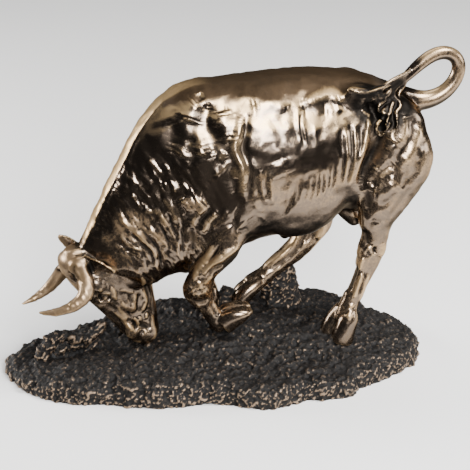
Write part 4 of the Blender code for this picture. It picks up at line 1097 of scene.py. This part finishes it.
def paintBull(mesh, wearAndHighlightMarks, washAndShadeMarks):
    relief = reliefOf(mesh, 0, bullFinish["reliefRounds"])
    broad = reliefOf(mesh, *bullFinish["broadRounds"])
    co, no = getPoints(mesh)
    x, y, z = co.T
    onHead = headDrawing(co)
    fields = dict(
        x=x, y=y, z=z, up=no[:, 2], beside=np.abs(y), headX=onHead[:, 0], headZ=onHead[:, 2],
        hoofLevel=z + bullFinish["hindHoofDrop"] * ramp(44, 60, x), relief=relief, wearAndHighlightMarks=wearAndHighlightMarks)
    area = {name: strongest(fields, rows) for name, rows in bullAreas.items()}
    edge = np.exp(-(((no[:, 2] - bullFinish["edgeSlope"]) / bullFinish["edgeWidth"]) ** 2))
    # gold: wear on ridges and edges, painted highlight on strokes and on the tail's top
    wornAndHighlight = np.maximum(area["wornAndHighlight"], edge * area["backEdge"])
    # black: wash in the hollows and strokes, painted shade under the body, on the hooves and below the
    # tail
    hollow = (ramp(0.02, 0.3, -relief) * bullFinish["fineWash"]
              + ramp(0.3, 2.5, -broad) * bullFinish["broadWash"])
    hollow = np.maximum.reduce([hollow, bullFinish["markWashAndShade"] * washAndShadeMarks,
                                bullFinish["backWash"] * area["matt"] * area["top"], area["hollow"]])
    hollow *= 1 - ramp(0.2, 0.6, wearAndHighlightMarks)
    # rubbed bronze, with painted reflections of the pale floor on the low flank and the neck
    rubAndReflection = area["rubAndReflection"]
    for *place, share in bronzeLook["neckFloorReflections"]:
        rubAndReflection = np.maximum(rubAndReflection, share * oval(x, z, *place, 0.55) * ramp(-0.25, 0.05, relief))
    horns = sum(strongest(fields, [row]) for row in bullAreas["horns"])
    # painted shade takes the rub off the hooves and the underside; strokes add rub as painted highlight
    rubAndReflection = np.maximum(rubAndReflection, np.clip(horns, 0, 1)) * (1 - bullFinish["hoofShade"] * area["hooves"])
    rubAndReflection = (rubAndReflection * (1 - bullFinish["underShade"] * area["under"])
           + bullFinish["ridgeRub"] * ramp(0.05, 0.4, relief)
           + bullFinish["markRubAndHighlight"] * ramp(0.1, 0.6, wearAndHighlightMarks))
    # the tuft lies in black, wash and painted shade under the hairs, gold only on the hairs
    tuft = oval(x, z, *bullFinish["tuftOval"], 0.6) * ramp(-10, -16, y)
    hollow = np.maximum(hollow, tuft * ramp(0.35, 0.0, relief))
    wornAndHighlight = np.maximum(wornAndHighlight, tuft * bullFinish["tuftGold"] * ramp(0.35, 0.8, relief))
    rubAndReflection *= 1 - tuft
    for name, values in (("hollow", hollow), ("wornAndHighlight", wornAndHighlight), ("rubAndReflection", rubAndReflection), ("matt", area["matt"])):
        giveAttribute(mesh, name, values)


bullPiece = makeBullForm()
print("bull form", len(bullPiece.data.polygons), "faces")
groundPiece = makeGroundForm()
print("ground form", len(groundPiece.data.polygons), "faces")

# the strokes return gold marks (wear and painted highlight) and black marks (wash and painted shade)
wearAndHighlightMarks, washAndShadeMarks = sculptBull(bullPiece)
putFeetDown(bullPiece, groundPiece.data)
paintBull(bullPiece.data, wearAndHighlightMarks, washAndShadeMarks)

# the earth's crumbs are rubbed bright, most of all around the steep rim
up = getPoints(groundPiece.data)[1][:, 2]
crumbs = reliefOf(groundPiece.data, 0, 4)
giveAttribute(groundPiece.data, "hollow", ramp(-0.05, 0.2, -crumbs))
giveAttribute(groundPiece.data, "wornAndHighlight", ramp(-0.05, 0.4, crumbs) * (0.45 + 0.6 * ramp(0.75, 0.3, up)))
finishPiece(bullPiece, bull["mostFaces"])
cutFlat(groundPiece)
finishPiece(groundPiece, ground["mostFaces"])
for piece, node, slot, material in ((bullPiece, "bull", "bull", makeBronze()),
                                    (groundPiece, "ground_base", "ground", makeEarth())):
    piece.data.materials.clear()
    piece.data.materials.append(material)
    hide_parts(node)
    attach(piece, "root")
print("casting pieces done")

studio = dict(
    floor="F4F3F1", flag="1C1B1A", room="8E9196", roomLevel=0.26,
    paperLight=2.4, paperLightSize=1.6, paperLightPlace=(0.0, -0.3, 2.2),
    flagLift=0.002, flagSpread=12, flagPoints=64,
    # azimuth from the front, elevation, distance, width, height, brightness of the cloth
    boxes=[
        (3, 27, 1.35, 0.42, 0.56, 48), (56, 56, 1.3, 0.55, 0.5, 34), (-118, 14, 1.1, 0.45, 0.36, 30),
        (75, 12, 1.2, 0.5, 0.4, 9), (170, 60, 1.6, 0.9, 0.5, 5),
    ],
    # the open, pale part around the figure
    flagHole=[(-0.2, 0.05), (-0.12, -0.06), (0, -0.13), (0.06, -0.28), (0.2, -0.38),
              (0.6, -0.35), (0.8, 0.0), (0.5, 0.35), (0, 0.4), (-0.2, 0.25)],
    aim=(0.0, 0.0, 0.10),
    azimuth=-12.0, elevation=22.0, distance=1.10, target=(0.00005, 0.00652, 0.088), lens=133.3,
    sensor=36.0, nearest=0.01,
)


def towards(azimuth, elevation):
    turn, tilt = math.radians(azimuth), math.radians(elevation)
    return Vector((math.sin(turn) * math.cos(tilt), -math.cos(turn) * math.cos(tilt), math.sin(tilt)))


def stagePiece(name, bm, materialName, hexColour, rough):
    mesh = bpy.data.meshes.new(name)
    bm.to_mesh(mesh)
    bm.free()
    piece = addObject(name, mesh)
    mat = bpy.data.materials.new(materialName)
    mat.use_nodes = True
    inputs = mat.node_tree.nodes["Principled BSDF"].inputs
    inputs["Base Color"].default_value = toLinear(hexColour)
    inputs["Roughness"].default_value = rough
    mesh.materials.append(mat)
    return piece


bm = bmesh.new()
bmesh.ops.create_grid(bm, x_segments=1, y_segments=1, size=4.0)
stagePiece("studioFloor", bm, "mattPaper", studio["floor"], 0.9)

# a black flag lies round the figure, as photographers do for shiny metal: the
# bronze mirrors it, while the camera and the shadows pass it by
bm = bmesh.new()
hole = curveThrough(studio["flagHole"] + studio["flagHole"][:1], studio["flagPoints"] + 1)[:-1]
for line in (hole, hole.mean(0) + (hole - hole.mean(0)) * studio["flagSpread"]):
    loop = bmesh.ops.create_circle(bm, segments=len(hole), radius=1.0)["verts"]
    for v, (x, y) in zip(loop, line):
        v.co = (x, y, studio["flagLift"])
bmesh.ops.bridge_loops(bm, edges=bm.edges[:])
flag = stagePiece("blackFlag", bm, "blackVelvet", studio["flag"], 1.0)
flag.visible_camera = flag.visible_diffuse = flag.visible_shadow = False

room = bpy.data.worlds.new("greyRoom")
room.use_nodes = True
room.node_tree.nodes["Background"].inputs["Color"].default_value = toLinear(studio["room"])
room.node_tree.nodes["Background"].inputs["Strength"].default_value = studio["roomLevel"]
bpy.context.scene.world = room

for k, (azimuth, elevation, away, width, height, level) in enumerate(studio["boxes"]):
    data = bpy.data.lights.new("softBox%d" % k, "AREA")
    data.shape, data.size, data.size_y = "RECTANGLE", width, height
    data.energy = level * math.pi * width * height
    box = addObject(data.name, data)
    box.location = Vector(studio["aim"]) + towards(azimuth, elevation) * away
    box.rotation_euler = towards(azimuth, elevation).to_track_quat("Z", "Y").to_euler()

# lifts the paper and the earth, unseen in the metal
data = bpy.data.lights.new("paperLight", "AREA")
data.shape, data.size, data.energy = "DISK", studio["paperLightSize"], studio["paperLight"]
paperLight = addObject(data.name, data)
paperLight.location = studio["paperLightPlace"]
paperLight.visible_glossy = False

back = towards(studio["azimuth"], studio["elevation"])
cameraData = bpy.data.cameras.new("photoView")
cameraData.lens, cameraData.sensor_width = studio["lens"], studio["sensor"]
cameraData.clip_start = studio["nearest"]
camera = addObject("photoView", cameraData)
camera.location = Vector(studio["target"]) + back * studio["distance"]
camera.rotation_euler = back.to_track_quat("Z", "Y").to_euler()
bpy.context.scene.camera = camera
print("studio set")
